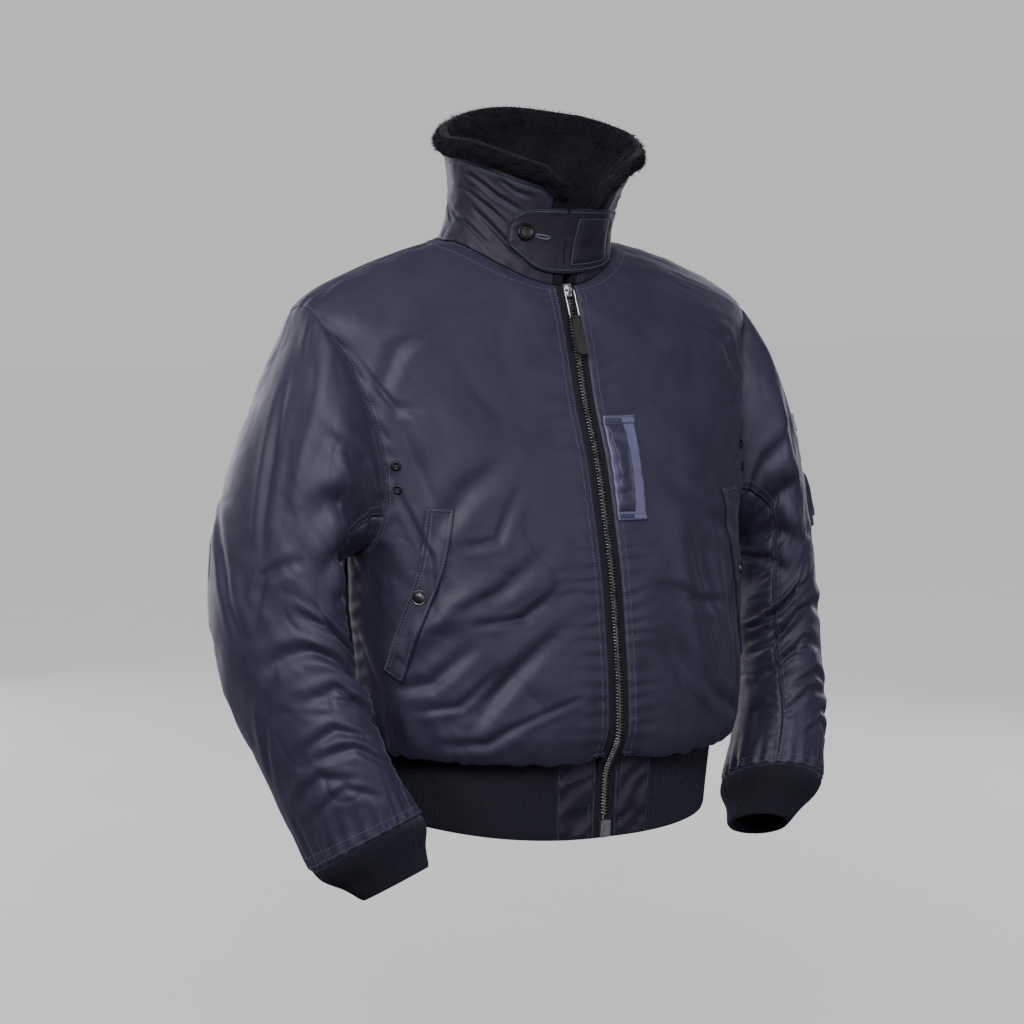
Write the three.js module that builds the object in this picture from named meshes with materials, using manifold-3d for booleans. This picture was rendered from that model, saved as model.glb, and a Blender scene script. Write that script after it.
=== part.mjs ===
// Flight jacket: padded nylon body and sleeves, pile collar, knit hem and cuffs.
// Millimetres, +Z up. The front faces -Y and the wearer's left is +X.
// The origin is the middle of the neck opening, level with the side neck points.
import * as THREE from 'three';
import { mergeVertices } from 'three/addons/utils/BufferGeometryUtils.js';
import loadManifold from 'manifold-3d';

const wasm = await loadManifold();
wasm.setup();

const degree = Math.PI / 180;
const clothWall = 3;
const seamGap = 0.3, seamSpare = 0.02;
const zipHalfWidth = 12;

// Torso: a closed ring at each height, from the hem seam (up 0) to the neck seam (up 1).
const torsoColumns = ['up', 'sideZ', 'frontZ', 'backZ', 'halfWidth', 'frontY', 'backY', 'square'];
const torsoRows = [
  [0.00, -533, -540, -530, 208, -158, 86, 0.86],
  [0.04, -546, -553, -543, 226, -170, 98, 0.84],
  [0.10, -522, -528, -520, 235, -180, 106, 0.82],
  [0.20, -468, -478, -470, 240, -181, 113, 0.82],
  [0.32, -400, -412, -405, 241, -175, 118, 0.82],
  [0.46, -326, -345, -340, 244, -166, 120, 0.80],
  [0.56, -262, -290, -272, 256, -154, 120, 0.78],
  [0.66, -186, -230, -205, 268, -139, 118, 0.78],
  [0.76, -112, -170, -140, 277, -117, 112, 0.80],
  [0.83, -67, -122, -88, 278, -104, 104, 0.84],
  [0.91, -26, -80, -34, 195, -91, 92, 0.92],
  [1.00, 0, -48, 14, 101, -79, 76, 1.00],
];
const hemSlope = -0.05;
const armholeLowUp = 0.46;
const armholeHighUp = 0.83;
const armholeFront = 30 * degree;
const armholeBack = 27 * degree;

// Large folds of the torso: a line from one place to another, troughs deep, ridges negative.
const foldColumns = ['fromAngle', 'fromUp', 'toAngle', 'toUp', 'width', 'depth'];
const torsoFolds = [
  [34, 0.50, 44, 0.10, 13, -7],
  [17, 0.54, 26, 0.18, 12, -5],
  [-14, 0.30, -48, 0.14, 15, 6],
  [-34, 0.42, -64, 0.28, 14, -7],
  [-52, 0.72, -44, 0.56, 12, 5],
  [-8, 0.42, -26, 0.34, 9, 5],
  [150, 0.70, 118, 0.42, 16, 6],
  [-146, 0.66, -116, 0.40, 16, 6],
  [172, 0.46, 140, 0.16, 18, -6],
  [-170, 0.40, -134, 0.14, 18, -6],
];

// Hem, below the torso: heights of its lower edge, how far it draws in, and its front facings.
const hemFrontZ = -640, hemSideZ = -624, hemBackZ = -622;
const hemTaper = 0.05;
const hemRows = [0, 0.12, 0.5, 0.9, 1];
const facingColumns = 2;

// Collar: shell heights round the neck, its flare with height, its pile roll, and how far the
// shell's and the pile's front edges open with height.
const collarHeightColumns = ['angle', 'height'];
const collarHeights = [
  [0, 100], [30, 98], [60, 89], [75, 91], [92, 99], [120, 109], [146, 111], [180, 111],
  [225, 100], [270, 88], [315, 94], [360, 100],
];
const collarWall = 2.5;
const collarEdgeAngle = 9 * degree, collarSpreadEnd = 60 * degree;
const collarOpenRight = 8 * degree, collarOpenLeft = 15 * degree;
const pileEdgeAngle = 3 * degree;
const pileOpenRight = 7 * degree, pileOpenLeft = 15 * degree;
const cornerHeight = 12;
const collarLean = 17;
const collarColumns = ['rise', 'flare'];
const collarRows = [[0, 0], [0.35, -4], [0.7, 1], [1, 9], [1.25, 15]];
const pileColumns = ['rise', 'above', 'out'];
const pileRows = [
  [1, 0.6, -2.9], [1, 0.8, 3], [1, 6, 7.5], [1, 13, 7.5], [1, 20, 3], [1, 22, -4], [1, 16, -11],
  [1, 5, -13.5], [0.9, 0, -13], [0.45, 0, -12], [0, 0, -10.5],
];
const shellRows = [0, 0.15, 0.35, 0.55, 0.75, 0.9, 1];

// Throat strap over the collar's front: heights of its lower and upper edges.
const strapColumns = ['angle', 'lowZ', 'highZ'];
const strapRows = [
  [-42, 2, 15], [-39, -6, 24], [-32, -16, 32], [-22, -29, 34], [-10, -35, 34], [10, -35, 33],
  [30, -30, 32], [45, -21, 31],
];
const strapLift = 1.2, strapWall = 2.5;
const buttonAngle = -31 * degree, buttonZ = 9, buttonRadius = 8.5, buttonThick = 3.6;

// Zip: tapes below the fronts' faces, the slider near the neck, its wire pull and leather tab.
const tapeDepth = 1, tapeWall = 1.6, tapeInner = 0.6, tapeOuter = 11.6;
const sliderUp = 0.983;
const frontSlider = { width: 11, length: 14, lift: -0.6, plate: 3.4, bridge: 3.6, pivotOut: 5, hole: 1.5 };
const frontPull = { width: 13.6, length: 33, wire: 1.6 };
const tabWidth = 15, tabTopWidth = 11.4, tabLength = 42, tabWall = 3, tabNeck = 9.4;
const tabBarrel = 2.4, tabTunnel = 1.1, tabShoulder = 2.6, tabCorner = 6;
const boxWidth = 13, boxLength = 19, boxThick = 4.5, boxLift = -0.6, boxDown = [0.8, 0.985];

// Sleeves: a ring for each station from the armhole (along 0) to the cuff seam (along 1).
// out and in are the ring's outer and inner ends, deep its half depth at midY; the front of
// the ring is moved towards the body by skew and raised by lift.
const sleeveColumns = ['along', 'outX', 'outZ', 'inX', 'inZ', 'midY', 'deep', 'skew', 'lift'];
const sleeveRows = [
  [0.00, 278, -67, 256, -326, -8, 93, 0, 0],
  [0.06, 291, -86, 262, -336, -8, 94, 2, 0],
  [0.15, 304, -128, 270, -350, -8, 96, 6, 0],
  [0.28, 338, -206, 275, -378, -10, 94, 16, 0],
  [0.42, 366, -292, 274, -412, -18, 90, 24, 2],
  [0.56, 377, -374, 270, -446, -30, 86, 28, 6],
  [0.70, 370, -460, 262, -490, -52, 80, 24, 12],
  [0.85, 350, -552, 244, -546, -84, 70, 12, 20],
  [1.00, 325, -638, 213, -600, -108, 60, 0, 28],
];
const sleeveFoldColumns = ['fromAngle', 'fromAlong', 'toAngle', 'toAlong', 'width', 'depth'];
const sleeveFolds = [
  [38, 0.06, 46, 0.34, 14, -5],
  [150, 0.14, 96, 0.25, 17, 7],
  [154, 0.62, 78, 0.55, 18, 7],
  [152, 0.76, 92, 0.70, 16, 6],
  [214, 0.54, 280, 0.62, 18, 6],
];
const seamFrontStep = 7, seamBackStep = 13;
const cuffLength = 54;
const cuffInward = 0.65, cuffForward = 0.25;
const cuffColumns = ['along', 'shrink'];
const cuffRows = [[0, 1], [0.25, 0.95], [0.6, 0.74], [1, 0.6]];
const cuffStations = [0, 0.1, 0.35, 0.7, 1];

// Pieces sewn on the panels, as corners in angle and height on the torso or the sleeve.
const flapCorners = [[47, 0.565], [37, 0.57], [73, 0.235], [65, 0.215]];
const snapPlace = [56, 0.395], snapRadius = 8, snapThick = 4;
const chestPatch = [[1.75, 0.73], [7.8, 0.727], [1.7, 0.553], [7.6, 0.55]];
const sleevePocket = [[34, 0.24], [-14, 0.24], [34, 0.46], [-14, 0.46]];
const pocketZip = [[26, 0.255], [20, 0.255], [26, 0.345], [20, 0.345]];
const penPocket = [[28, 0.37], [-6, 0.37], [28, 0.45], [-6, 0.45]];
const chestStrap = [[1.9, 0.718], [5.2, 0.716], [1.85, 0.565], [5, 0.563]];
const pocketSliderPlace = [23, 0.263];
const pocketSlider = { width: 7, length: 9, lift: 8.5, plate: 1.5, bridge: 2.6, pivotOut: 11.9, hole: 1.1 };
const pocketPull = { width: 6.4, length: 20, wire: 1.2 };
const penTipPlace = [20, 0.452], penTipRadius = 2.2, penTipLength = 9;
const eyeletPlaces = [[55, 0.62], [56.5, 0.585]];
const eyeletRadius = 4, eyeletWire = 1.1;

// Grid counts.
const armholeSteps = 10;
const rowsBelowArmhole = [0, 0.02, 0.04, 0.07, 0.1, 0.15, 0.2, 0.26, 0.32, 0.39];
const rowsAboveArmhole = [0.87, 0.91, 0.955, 1];
const frontColumns = 12, frontSpread = 1.1;
const backColumns = 22;
const sleeveStations = [
  0, 0.03, 0.06, 0.1, 0.15, 0.2, 0.25, 0.3, 0.36, 0.42, 0.48, 0.54, 0.6, 0.66, 0.72, 0.79, 0.86,
  0.93, 1,
];

// Columns of a front panel lie closer towards the zip.
const frontSpacing = () => evenly(frontColumns).map((u) => u ** frontSpread);
const evenly = (count) => Array.from({ length: count + 1 }, (_, i) => i / count);

function namedRows(columns, rows) {
  return rows.map((row) => Object.fromEntries(columns.map((name, i) => [name, row[i]])));
}

// A smooth curve through each column of a table, looked up by the table's first column.
function smoothTable(columns, rows) {
  const entries = namedRows(columns, rows);
  const key = columns[0];
  const slope = (name, i) => {
    const before = entries[Math.max(i - 1, 0)];
    const after = entries[Math.min(i + 1, entries.length - 1)];
    return (after[name] - before[name]) / (after[key] - before[key]);
  };
  return (place) => {
    let i = 0;
    while (i < entries.length - 2 && place > entries[i + 1][key]) i += 1;
    const [low, high] = [entries[i], entries[i + 1]];
    const span = high[key] - low[key];
    const t = THREE.MathUtils.clamp((place - low[key]) / span, 0, 1);
    const value = (name) => low[name] * (2 * t ** 3 - 3 * t ** 2 + 1)
      + slope(name, i) * span * (t ** 3 - 2 * t ** 2 + t)
      + high[name] * (3 * t ** 2 - 2 * t ** 3)
      + slope(name, i + 1) * span * (t ** 3 - t ** 2);
    return Object.fromEntries(columns.map((name) => [name, value(name)]));
  };
}

const torsoAt = smoothTable(torsoColumns, torsoRows);
const sleeveAt = smoothTable(sleeveColumns, sleeveRows);
const cuffAt = smoothTable(cuffColumns, cuffRows);
const collarAt = smoothTable(collarColumns, collarRows);
const collarHeightAt = smoothTable(collarHeightColumns, collarHeights);
const torsoFoldList = namedRows(foldColumns, torsoFolds);
const sleeveFoldList = namedRows(sleeveFoldColumns, sleeveFolds);

const signedPower = (value, power) => Math.sign(value) * Math.abs(value) ** power;

function smoothStep(from, to, value) {
  return THREE.MathUtils.smoothstep(value, from, to);
}

// How far the folds push in at a place on the flattened cloth, all in millimetres.
function foldDepth(folds, across, up, place) {
  let depth = 0;
  for (const fold of folds) {
    const [start, end] = place(fold);
    const line = end.clone().sub(start);
    const here = new THREE.Vector2(across, up).sub(start);
    const t = THREE.MathUtils.clamp(here.dot(line) / line.lengthSq(), 0, 1);
    const away = here.sub(line.clone().multiplyScalar(t)).length();
    depth += fold.depth * Math.exp(-((away / fold.width) ** 2)) * (0.35 + 0.65 * Math.sin(Math.PI * t));
  }
  return depth;
}

// The smooth torso: phi is 0 at the centre front, 90 degrees at the wearer's left side.
function torsoForm(phi, up) {
  const ring = torsoAt(up);
  const side = Math.sin(phi), fore = Math.cos(phi);
  const middle = (ring.frontY + ring.backY) / 2;
  const halfDepth = (ring.backY - ring.frontY) / 2;
  const endZ = fore > 0 ? ring.frontZ : ring.backZ;
  return new THREE.Vector3(
    ring.halfWidth * signedPower(side, ring.square),
    middle - halfDepth * signedPower(fore, ring.square),
    ring.sideZ + (endZ - ring.sideZ) * fore ** 2
      + hemSlope * ring.halfWidth * side * smoothStep(0, armholeLowUp, armholeLowUp - up),
  );
}

function normalOf(form, across, along, limit = [0, 1]) {
  const step = 0.006;
  const acrossDelta = form(across + step, along).sub(form(across - step, along));
  const high = form(across, Math.min(along + step, limit[1]));
  const low = form(across, Math.max(along - step, limit[0]));
  return acrossDelta.cross(high.sub(low)).normalize();
}

const torsoNormal = (phi, up) => normalOf(torsoForm, phi, up);

const torsoRadius = 205, torsoLength = 600;
const torsoPlace = (fold) => [
  new THREE.Vector2(fold.fromAngle * degree * torsoRadius, fold.fromUp * torsoLength),
  new THREE.Vector2(fold.toAngle * degree * torsoRadius, fold.toUp * torsoLength),
];

// The torso with its folds, which fade out at the zip, the hem and the neck.
function torsoSurface(phi, up) {
  const fade = smoothStep(0, 0.08, up) * smoothStep(0, 0.06, 1 - up)
    * smoothStep(3 * degree, 12 * degree, Math.abs(phi));
  const depth = fade * foldDepth(torsoFoldList, phi * torsoRadius, up * torsoLength, torsoPlace);
  return torsoForm(phi, up).addScaledVector(torsoNormal(phi, up), -depth);
}

const zipAngle = (up) => {
  const ring = torsoAt(up);
  return Math.asin((zipHalfWidth / ring.halfWidth) ** (1 / ring.square));
};

const armholeUp = (loopAngle) => armholeLowUp
  + (armholeHighUp - armholeLowUp) * (1 - Math.cos(loopAngle)) / 2;

// Rows of the torso panels: up to the armhole, round it, and over the shoulder to the neck.
const torsoPanelRows = [
  ...rowsBelowArmhole.map((up) => ({ up, opening: 0 })),
  ...Array.from({ length: armholeSteps + 1 }, (_, i) => {
    const loopAngle = Math.PI * i / armholeSteps;
    return { up: armholeUp(loopAngle), opening: Math.sin(loopAngle), loopAngle };
  }),
  ...rowsAboveArmhole.map((up) => ({ up, opening: 0 })),
];

function surfaceGrid(rows, columns, place) {
  const grid = { outer: [], inner: [] };
  for (const row of rows) {
    const points = columns.map((column) => place(column, row));
    grid.outer.push(points.map((point) => point.outer));
    grid.inner.push(points.map((point) => point.inner));
  }
  return grid;
}

const layer = (point, normal, wall, lift = 0) => ({
  outer: point.clone().addScaledVector(normal, lift + wall),
  inner: point.clone().addScaledVector(normal, lift),
});

// The wall lies inside the torso surface, which is its outer face.
const torsoWall = (phi, up) => layer(torsoSurface(phi, up), torsoNormal(phi, up), clothWall, -clothWall);

// The loop turn of a panel's armhole row: 0 at the shoulder, 90 degrees in front, 180 below.
const panelTurn = (row, front) => (front ? Math.PI - row.loopAngle : Math.PI + row.loopAngle);

// Where a panel meets a sleeve both walls end on the seam's own mitre.
function panelWall(side, phi, row, atArmhole, front) {
  const wall = torsoWall(phi, row.up);
  if (atArmhole && row.loopAngle !== undefined) wall.inner = seamInner(side, panelTurn(row, front));
  return wall;
}

// Moves the seam edges of a panel back by half the seam gap, each towards its own inside.
function openSeams(grid, edges) {
  const rows = grid.outer.length, columns = grid.outer[0].length;
  const moves = [];
  const plan = (i, j, towardsI, towardsJ) => {
    const step = grid.outer[towardsI][towardsJ].clone().sub(grid.outer[i][j]);
    moves.push([i, j, step.setLength(seamGap / 2 + seamSpare)]);
  };
  for (let i = 0; i < rows; i += 1) {
    if (edges.first) plan(i, 0, i, 1);
    if (edges.last) plan(i, columns - 1, i, columns - 2);
  }
  for (let j = 0; j < columns; j += 1) {
    if (edges.bottom) plan(0, j, 1, j);
    if (edges.top) plan(rows - 1, j, rows - 2, j);
  }
  for (const [i, j, step] of moves) {
    grid.outer[i][j].add(step);
    grid.inner[i][j].add(step);
  }
  return grid;
}

// A closed wall from its outer and inner points; a tube's columns wrap round.
function wallGeometry(grid, wraps = false) {
  const rows = grid.outer.length, columns = grid.outer[0].length;
  const positions = [...grid.outer.flat(), ...grid.inner.flat()].flatMap((p) => [p.x, p.y, p.z]);
  const outer = (i, j) => i * columns + (j % columns);
  const inner = (i, j) => rows * columns + outer(i, j);
  const faces = [];
  const quad = (a, b, c, d) => faces.push(a, b, c, a, c, d);
  const lastColumn = wraps ? columns : columns - 1;
  for (let i = 0; i < rows - 1; i += 1) {
    for (let j = 0; j < lastColumn; j += 1) {
      quad(outer(i, j), outer(i, j + 1), outer(i + 1, j + 1), outer(i + 1, j));
      quad(inner(i, j + 1), inner(i, j), inner(i + 1, j), inner(i + 1, j + 1));
    }
    if (!wraps) {
      quad(inner(i, 0), outer(i, 0), outer(i + 1, 0), inner(i + 1, 0));
      const end = columns - 1;
      quad(outer(i, end), inner(i, end), inner(i + 1, end), outer(i + 1, end));
    }
  }
  for (let j = 0; j < lastColumn; j += 1) {
    quad(inner(0, j), inner(0, j + 1), outer(0, j + 1), outer(0, j));
    const top = rows - 1;
    quad(outer(top, j), outer(top, j + 1), inner(top, j + 1), inner(top, j));
  }
  return facingOut(positions, faces);
}

// Merges a three.js geometry's shared points into one closed body.
function mergedGeometry(geometry) {
  geometry.deleteAttribute('normal');
  geometry.deleteAttribute('uv');
  const merged = mergeVertices(geometry, 1e-4);
  const index = Array.from(merged.index.array);
  const faces = [];
  for (let f = 0; f < index.length; f += 3) {
    const [a, b, c] = index.slice(f, f + 3);
    if (a !== b && b !== c && c !== a) faces.push(a, b, c);
  }
  return facingOut(Array.from(merged.attributes.position.array), faces);
}

function facingOut(positions, faces) {
  const at = (i) => new THREE.Vector3(...positions.slice(3 * i, 3 * i + 3));
  let volume = 0;
  for (let f = 0; f < faces.length; f += 3) {
    volume += at(faces[f]).dot(at(faces[f + 1]).cross(at(faces[f + 2])));
  }
  if (volume < 0) faces.reverse();
  const geometry = new THREE.BufferGeometry();
  geometry.setAttribute('position', new THREE.Float32BufferAttribute(positions, 3));
  geometry.setIndex(faces);
  return geometry;
}

const finish = (color, roughness, metalness = 0) => (
  new THREE.MeshStandardMaterial({ color, roughness, metalness }));
const nylon = finish(0x2b2d40, 0.5);
const knit = finish(0x22273a, 0.9);
const pile = finish(0x2a2d35, 1);
const steel = finish(0xb9bcc2, 0.35, 1);
const darkMetal = finish(0x5a5c60, 0.3, 1);
const leather = finish(0x23231f, 0.6);
const tape = finish(0x2c2f3c, 0.8);
const ribbon = finish(0x6a7394, 0.4);

const jacket = new THREE.Group();

function addPiece(name, geometry, material, parent = jacket) {
  const mesh = new THREE.Mesh(geometry, material);
  mesh.name = name;
  parent.add(mesh);
  return mesh;
}

function frontPanel(side) {
  const grid = surfaceGrid(torsoPanelRows, frontSpacing(), (u, row) => {
    const start = zipAngle(row.up);
    const end = Math.PI / 2 - armholeFront * row.opening;
    return panelWall(side, side * (start + (end - start) * u), row, u === 1, true);
  });
  return wallGeometry(openSeams(grid, { last: true, bottom: true, top: true }));
}

function backPanel() {
  const grid = surfaceGrid(torsoPanelRows, evenly(backColumns), (u, row) => {
    const start = Math.PI / 2 + armholeBack * row.opening;
    const side = u < 0.5 ? 1 : -1;
    const phi = start + (2 * Math.PI - 2 * start) * u;
    return panelWall(side, phi, row, u === 0 || u === 1, false);
  });
  return wallGeometry(openSeams(grid, { first: true, last: true, bottom: true, top: true }));
}

addPiece('front_right', frontPanel(-1), nylon);
addPiece('front_left', frontPanel(1), nylon);
addPiece('back', backPanel(), nylon);

// A point and the torso's normal on the armhole; turn is 0 at the shoulder, 90 in front.
function armholeEdge(side, anyTurn) {
  const turn = (anyTurn + 2 * Math.PI) % (2 * Math.PI);
  const front = turn <= Math.PI;
  const loopAngle = front ? Math.PI - turn : turn - Math.PI;
  const swing = (front ? -armholeFront : armholeBack) * Math.sin(loopAngle);
  const phi = side * (Math.PI / 2 + swing);
  const up = armholeUp(loopAngle);
  return { point: torsoSurface(phi, up), normal: torsoNormal(phi, up) };
}

function sleeveForm(side, turn, along) {
  const ring = sleeveAt(along);
  const outer = new THREE.Vector3(ring.outX, ring.midY, ring.outZ);
  const inner = new THREE.Vector3(ring.inX, ring.midY, ring.inZ);
  const half = outer.clone().sub(inner).multiplyScalar(0.5);
  const front = new THREE.Vector3(0, -ring.deep, ring.lift)
    .addScaledVector(half.clone().normalize(), -ring.skew);
  const point = outer.add(inner).multiplyScalar(0.5)
    .addScaledVector(half, Math.cos(turn)).addScaledVector(front, Math.sin(turn));
  point.x *= side;
  return armholeEdge(side, turn).point.lerp(point, smoothStep(0, 0.15, along));
}

function sleeveNormal(side, turn, along) {
  const form = (a, b) => sleeveForm(side, a, b);
  return normalOf(form, turn, Math.max(along, 0.01)).multiplyScalar(side);
}

function sleeveSeamNormal(side, turn) {
  const step = 0.05;
  const across = armholeEdge(side, turn + step).point.sub(armholeEdge(side, turn - step).point);
  const away = sleeveForm(side, turn, 0.08).sub(armholeEdge(side, turn).point);
  return across.cross(away).multiplyScalar(side).normalize();
}

// The inner end of the armhole seam, half way between the torso's and the sleeve's normals.
function seamInner(side, turn) {
  const { point, normal } = armholeEdge(side, turn);
  const mitre = normal.clone().add(sleeveSeamNormal(side, turn)).normalize();
  return point.addScaledVector(mitre, -clothWall / Math.max(mitre.dot(normal), 0.6));
}

const cuffMiddle = (side) => (
  sleeveForm(side, 0, 1).add(sleeveForm(side, Math.PI, 1)).multiplyScalar(0.5));
const cuffSpoke = (side, turn) => sleeveForm(side, turn, 1).sub(cuffMiddle(side)).normalize();

const sleeveRadius = 80, sleeveLength = 560;
const sleevePlace = (fold) => [
  new THREE.Vector2(fold.fromAngle * degree * sleeveRadius, fold.fromAlong * sleeveLength),
  new THREE.Vector2(fold.toAngle * degree * sleeveRadius, fold.toAlong * sleeveLength),
];

function sleeveSurface(side, turn, along) {
  const fade = smoothStep(0, 0.06, along) * smoothStep(0, 0.05, 1 - along);
  const across = ((turn + 2 * Math.PI) % (2 * Math.PI)) * sleeveRadius;
  const depth = fade * foldDepth(sleeveFoldList, across, along * sleeveLength, sleevePlace);
  return sleeveForm(side, turn, along).addScaledVector(sleeveNormal(side, turn, along), -depth);
}

function sleeveWall(side, turn, along) {
  const point = sleeveSurface(side, turn, along);
  const wall = layer(point, sleeveNormal(side, turn, along), clothWall, -clothWall);
  if (along === 0) wall.inner = seamInner(side, turn);
  if (along === 1) wall.inner = point.clone().addScaledVector(cuffSpoke(side, turn), -clothWall);
  return wall;
}

const ringSteps = 2 * armholeSteps;
const ringTurn = (k) => 2 * Math.PI * k / ringSteps;

function sleevePanel(side, firstStep, lastStep) {
  const columns = Array.from({ length: lastStep - firstStep + 1 }, (_, i) => ringTurn(firstStep + i));
  return surfaceGrid(sleeveStations, columns, (turn, along) => sleeveWall(side, turn, along));
}

const sideName = (side) => (side > 0 ? 'left' : 'right');
const tubeSeams = { first: true, last: true, bottom: true, top: true };
for (const side of [-1, 1]) {
  const name = sideName(side);
  const upper = sleevePanel(side, seamBackStep - ringSteps, seamFrontStep);
  const under = sleevePanel(side, seamFrontStep, seamBackStep);
  addPiece(`sleeve_${name}_upper`, wallGeometry(openSeams(upper, tubeSeams)), nylon);
  addPiece(`sleeve_${name}_under`, wallGeometry(openSeams(under, tubeSeams)), nylon);
}

// A knit cuff runs on from the sleeve's last ring, square to it, and narrows to the wrist.
function cuff(side) {
  const turns = Array.from({ length: ringSteps }, (_, k) => ringTurn(k));
  const middle = cuffMiddle(side);
  const axis = new THREE.Vector3(-side * cuffInward, -cuffForward, -1).normalize();
  const place = (turn, along) => {
    const outer = sleeveForm(side, turn, 1).lerp(middle, 1 - cuffAt(along).shrink)
      .addScaledVector(axis, seamGap + along * cuffLength);
    return { outer, inner: outer.clone().addScaledVector(cuffSpoke(side, turn), -clothWall) };
  };
  return wallGeometry(surfaceGrid(cuffStations, turns, place), true);
}
addPiece('cuff_right', cuff(-1), knit);
addPiece('cuff_left', cuff(1), knit);

// The hem band, from the torso's lower edge (down 0) to its own (down 1).
function hemForm(phi, down) {
  const top = torsoForm(phi, 0);
  const side = Math.sin(phi), fore = Math.cos(phi);
  const ring = torsoAt(0);
  const middleY = (ring.frontY + ring.backY) / 2;
  const draw = 1 - hemTaper * down;
  const endZ = hemSideZ + ((fore > 0 ? hemFrontZ : hemBackZ) - hemSideZ) * fore ** 2
    + hemSlope * ring.halfWidth * side;
  const keepsX = Math.abs(top.x) <= zipHalfWidth + 0.01;
  return new THREE.Vector3(
    keepsX ? top.x : top.x * draw,
    middleY + (top.y - middleY) * draw,
    top.z - seamGap + (endZ - top.z + seamGap) * down,
  );
}

function hemWall(phi, down, lift = -clothWall, wall = clothWall) {
  const point = hemForm(phi, down);
  const middleY = (torsoAt(0).frontY + torsoAt(0).backY) / 2;
  const near = hemForm(phi + 0.02, down).sub(hemForm(phi - 0.02, down));
  const normal = new THREE.Vector3(near.y, -near.x, 0).normalize();
  if (normal.dot(new THREE.Vector3(point.x, point.y - middleY, 0)) < 0) normal.negate();
  return layer(point, normal, wall, lift);
}

const frontAngles = frontSpacing().map((u) => zipAngle(0) + (Math.PI / 2 - zipAngle(0)) * u);
const backAngles = evenly(backColumns).map((u) => Math.PI / 2 + Math.PI * u);
for (const side of [-1, 1]) {
  const angles = frontAngles.slice(0, facingColumns + 1).map((phi) => side * phi);
  const grid = surfaceGrid(hemRows, angles, (phi, down) => hemWall(phi, down));
  addPiece(`hem_facing_${sideName(side)}`, wallGeometry(openSeams(grid, { last: true })), nylon);
}
const knitAngles = [
  ...frontAngles.slice(facingColumns), ...backAngles.slice(1, -1),
  ...frontAngles.slice(facingColumns).reverse().map((phi) => 2 * Math.PI - phi),
];
const hemKnit = surfaceGrid(hemRows, knitAngles, (phi, down) => hemWall(phi, down));
addPiece('hem_knit', wallGeometry(openSeams(hemKnit, { first: true, last: true })), knit);

// Zip tapes, one beside each front edge, from the hem's lower edge to the neck.
function zipTape(side) {
  const angleAt = (x, up) => {
    const ring = torsoAt(up);
    return side * Math.asin((x / ring.halfWidth) ** (1 / ring.square));
  };
  const hemPart = hemRows.slice(1).reverse().map((down) => ({ down }));
  const rows = [...hemPart, ...torsoPanelRows];
  const place = (x, row) => {
    if (row.down === undefined) {
      const phi = angleAt(x, row.up);
      return layer(torsoSurface(phi, row.up), torsoNormal(phi, row.up), tapeWall, -tapeDepth - tapeWall);
    }
    const point = hemWall(angleAt(x, 0), row.down, -tapeDepth - tapeWall, tapeWall);
    point.outer.x = side * x;
    point.inner.x = side * x;
    return point;
  };
  return wallGeometry(surfaceGrid(rows, [tapeInner, tapeOuter], place));
}
addPiece('zip_tape_right', zipTape(-1), tape);
addPiece('zip_tape_left', zipTape(1), tape);

// The collar stands on the neck seam; height and out are measured from the shell's face.
const collarHeight = (phi) => (
  collarHeightAt(((phi + 2 * Math.PI) % (2 * Math.PI)) / degree).height);
const neckMiddle = new THREE.Vector3(0, (torsoAt(1).frontY + torsoAt(1).backY) / 2, 0);

function collarPlace(phi, height, out) {
  const base = torsoForm(phi, 1);
  const outward = new THREE.Vector3(base.x, base.y - neckMiddle.y, 0).normalize();
  const rise = height / collarHeight(phi);
  return new THREE.Vector3(base.x + collarLean * rise, base.y, base.z + seamGap + height)
    .addScaledVector(outward, out + collarAt(rise).flare);
}

const collarFrontAngles = frontAngles.filter((phi) => phi > collarEdgeAngle + 2 * degree);
const collarAngles = [
  ...collarFrontAngles, ...backAngles.slice(1, -1),
  ...collarFrontAngles.toReversed().map((phi) => 2 * Math.PI - phi),
];
const shellAngles = [collarEdgeAngle, ...collarAngles, 2 * Math.PI - collarEdgeAngle];
// The shell's front corners are rounded off.
const cornerDrop = (phi) => {
  const fromEdge = Math.min(phi, 2 * Math.PI - phi) - collarEdgeAngle;
  return cornerHeight * (1 - smoothStep(-4 * degree, 10 * degree, fromEdge));
};
// The front edges stand apart with height: the angle of a place on the opened collar.
function openedAngle(phi, rise, openRight, openLeft, from, to) {
  const signed = phi > Math.PI ? phi - 2 * Math.PI : phi;
  const share = 1 - smoothStep(collarEdgeAngle, collarSpreadEnd, Math.abs(signed));
  return signed + Math.sign(signed) * (signed > 0 ? openLeft : openRight) * share
    * smoothStep(from, to, rise);
}
const shellTurn = (phi, rise) => (
  openedAngle(phi, rise, collarOpenRight, collarOpenLeft, 0.2, 0.8));
const shell = surfaceGrid(shellRows, shellAngles, (phi, rise) => {
  const height = rise * (collarHeight(phi) - cornerDrop(phi));
  const turn = shellTurn(phi, rise);
  return { outer: collarPlace(turn, height, 0), inner: collarPlace(turn, height, -collarWall) };
});
addPiece('collar_shell', wallGeometry(shell), nylon);

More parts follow.
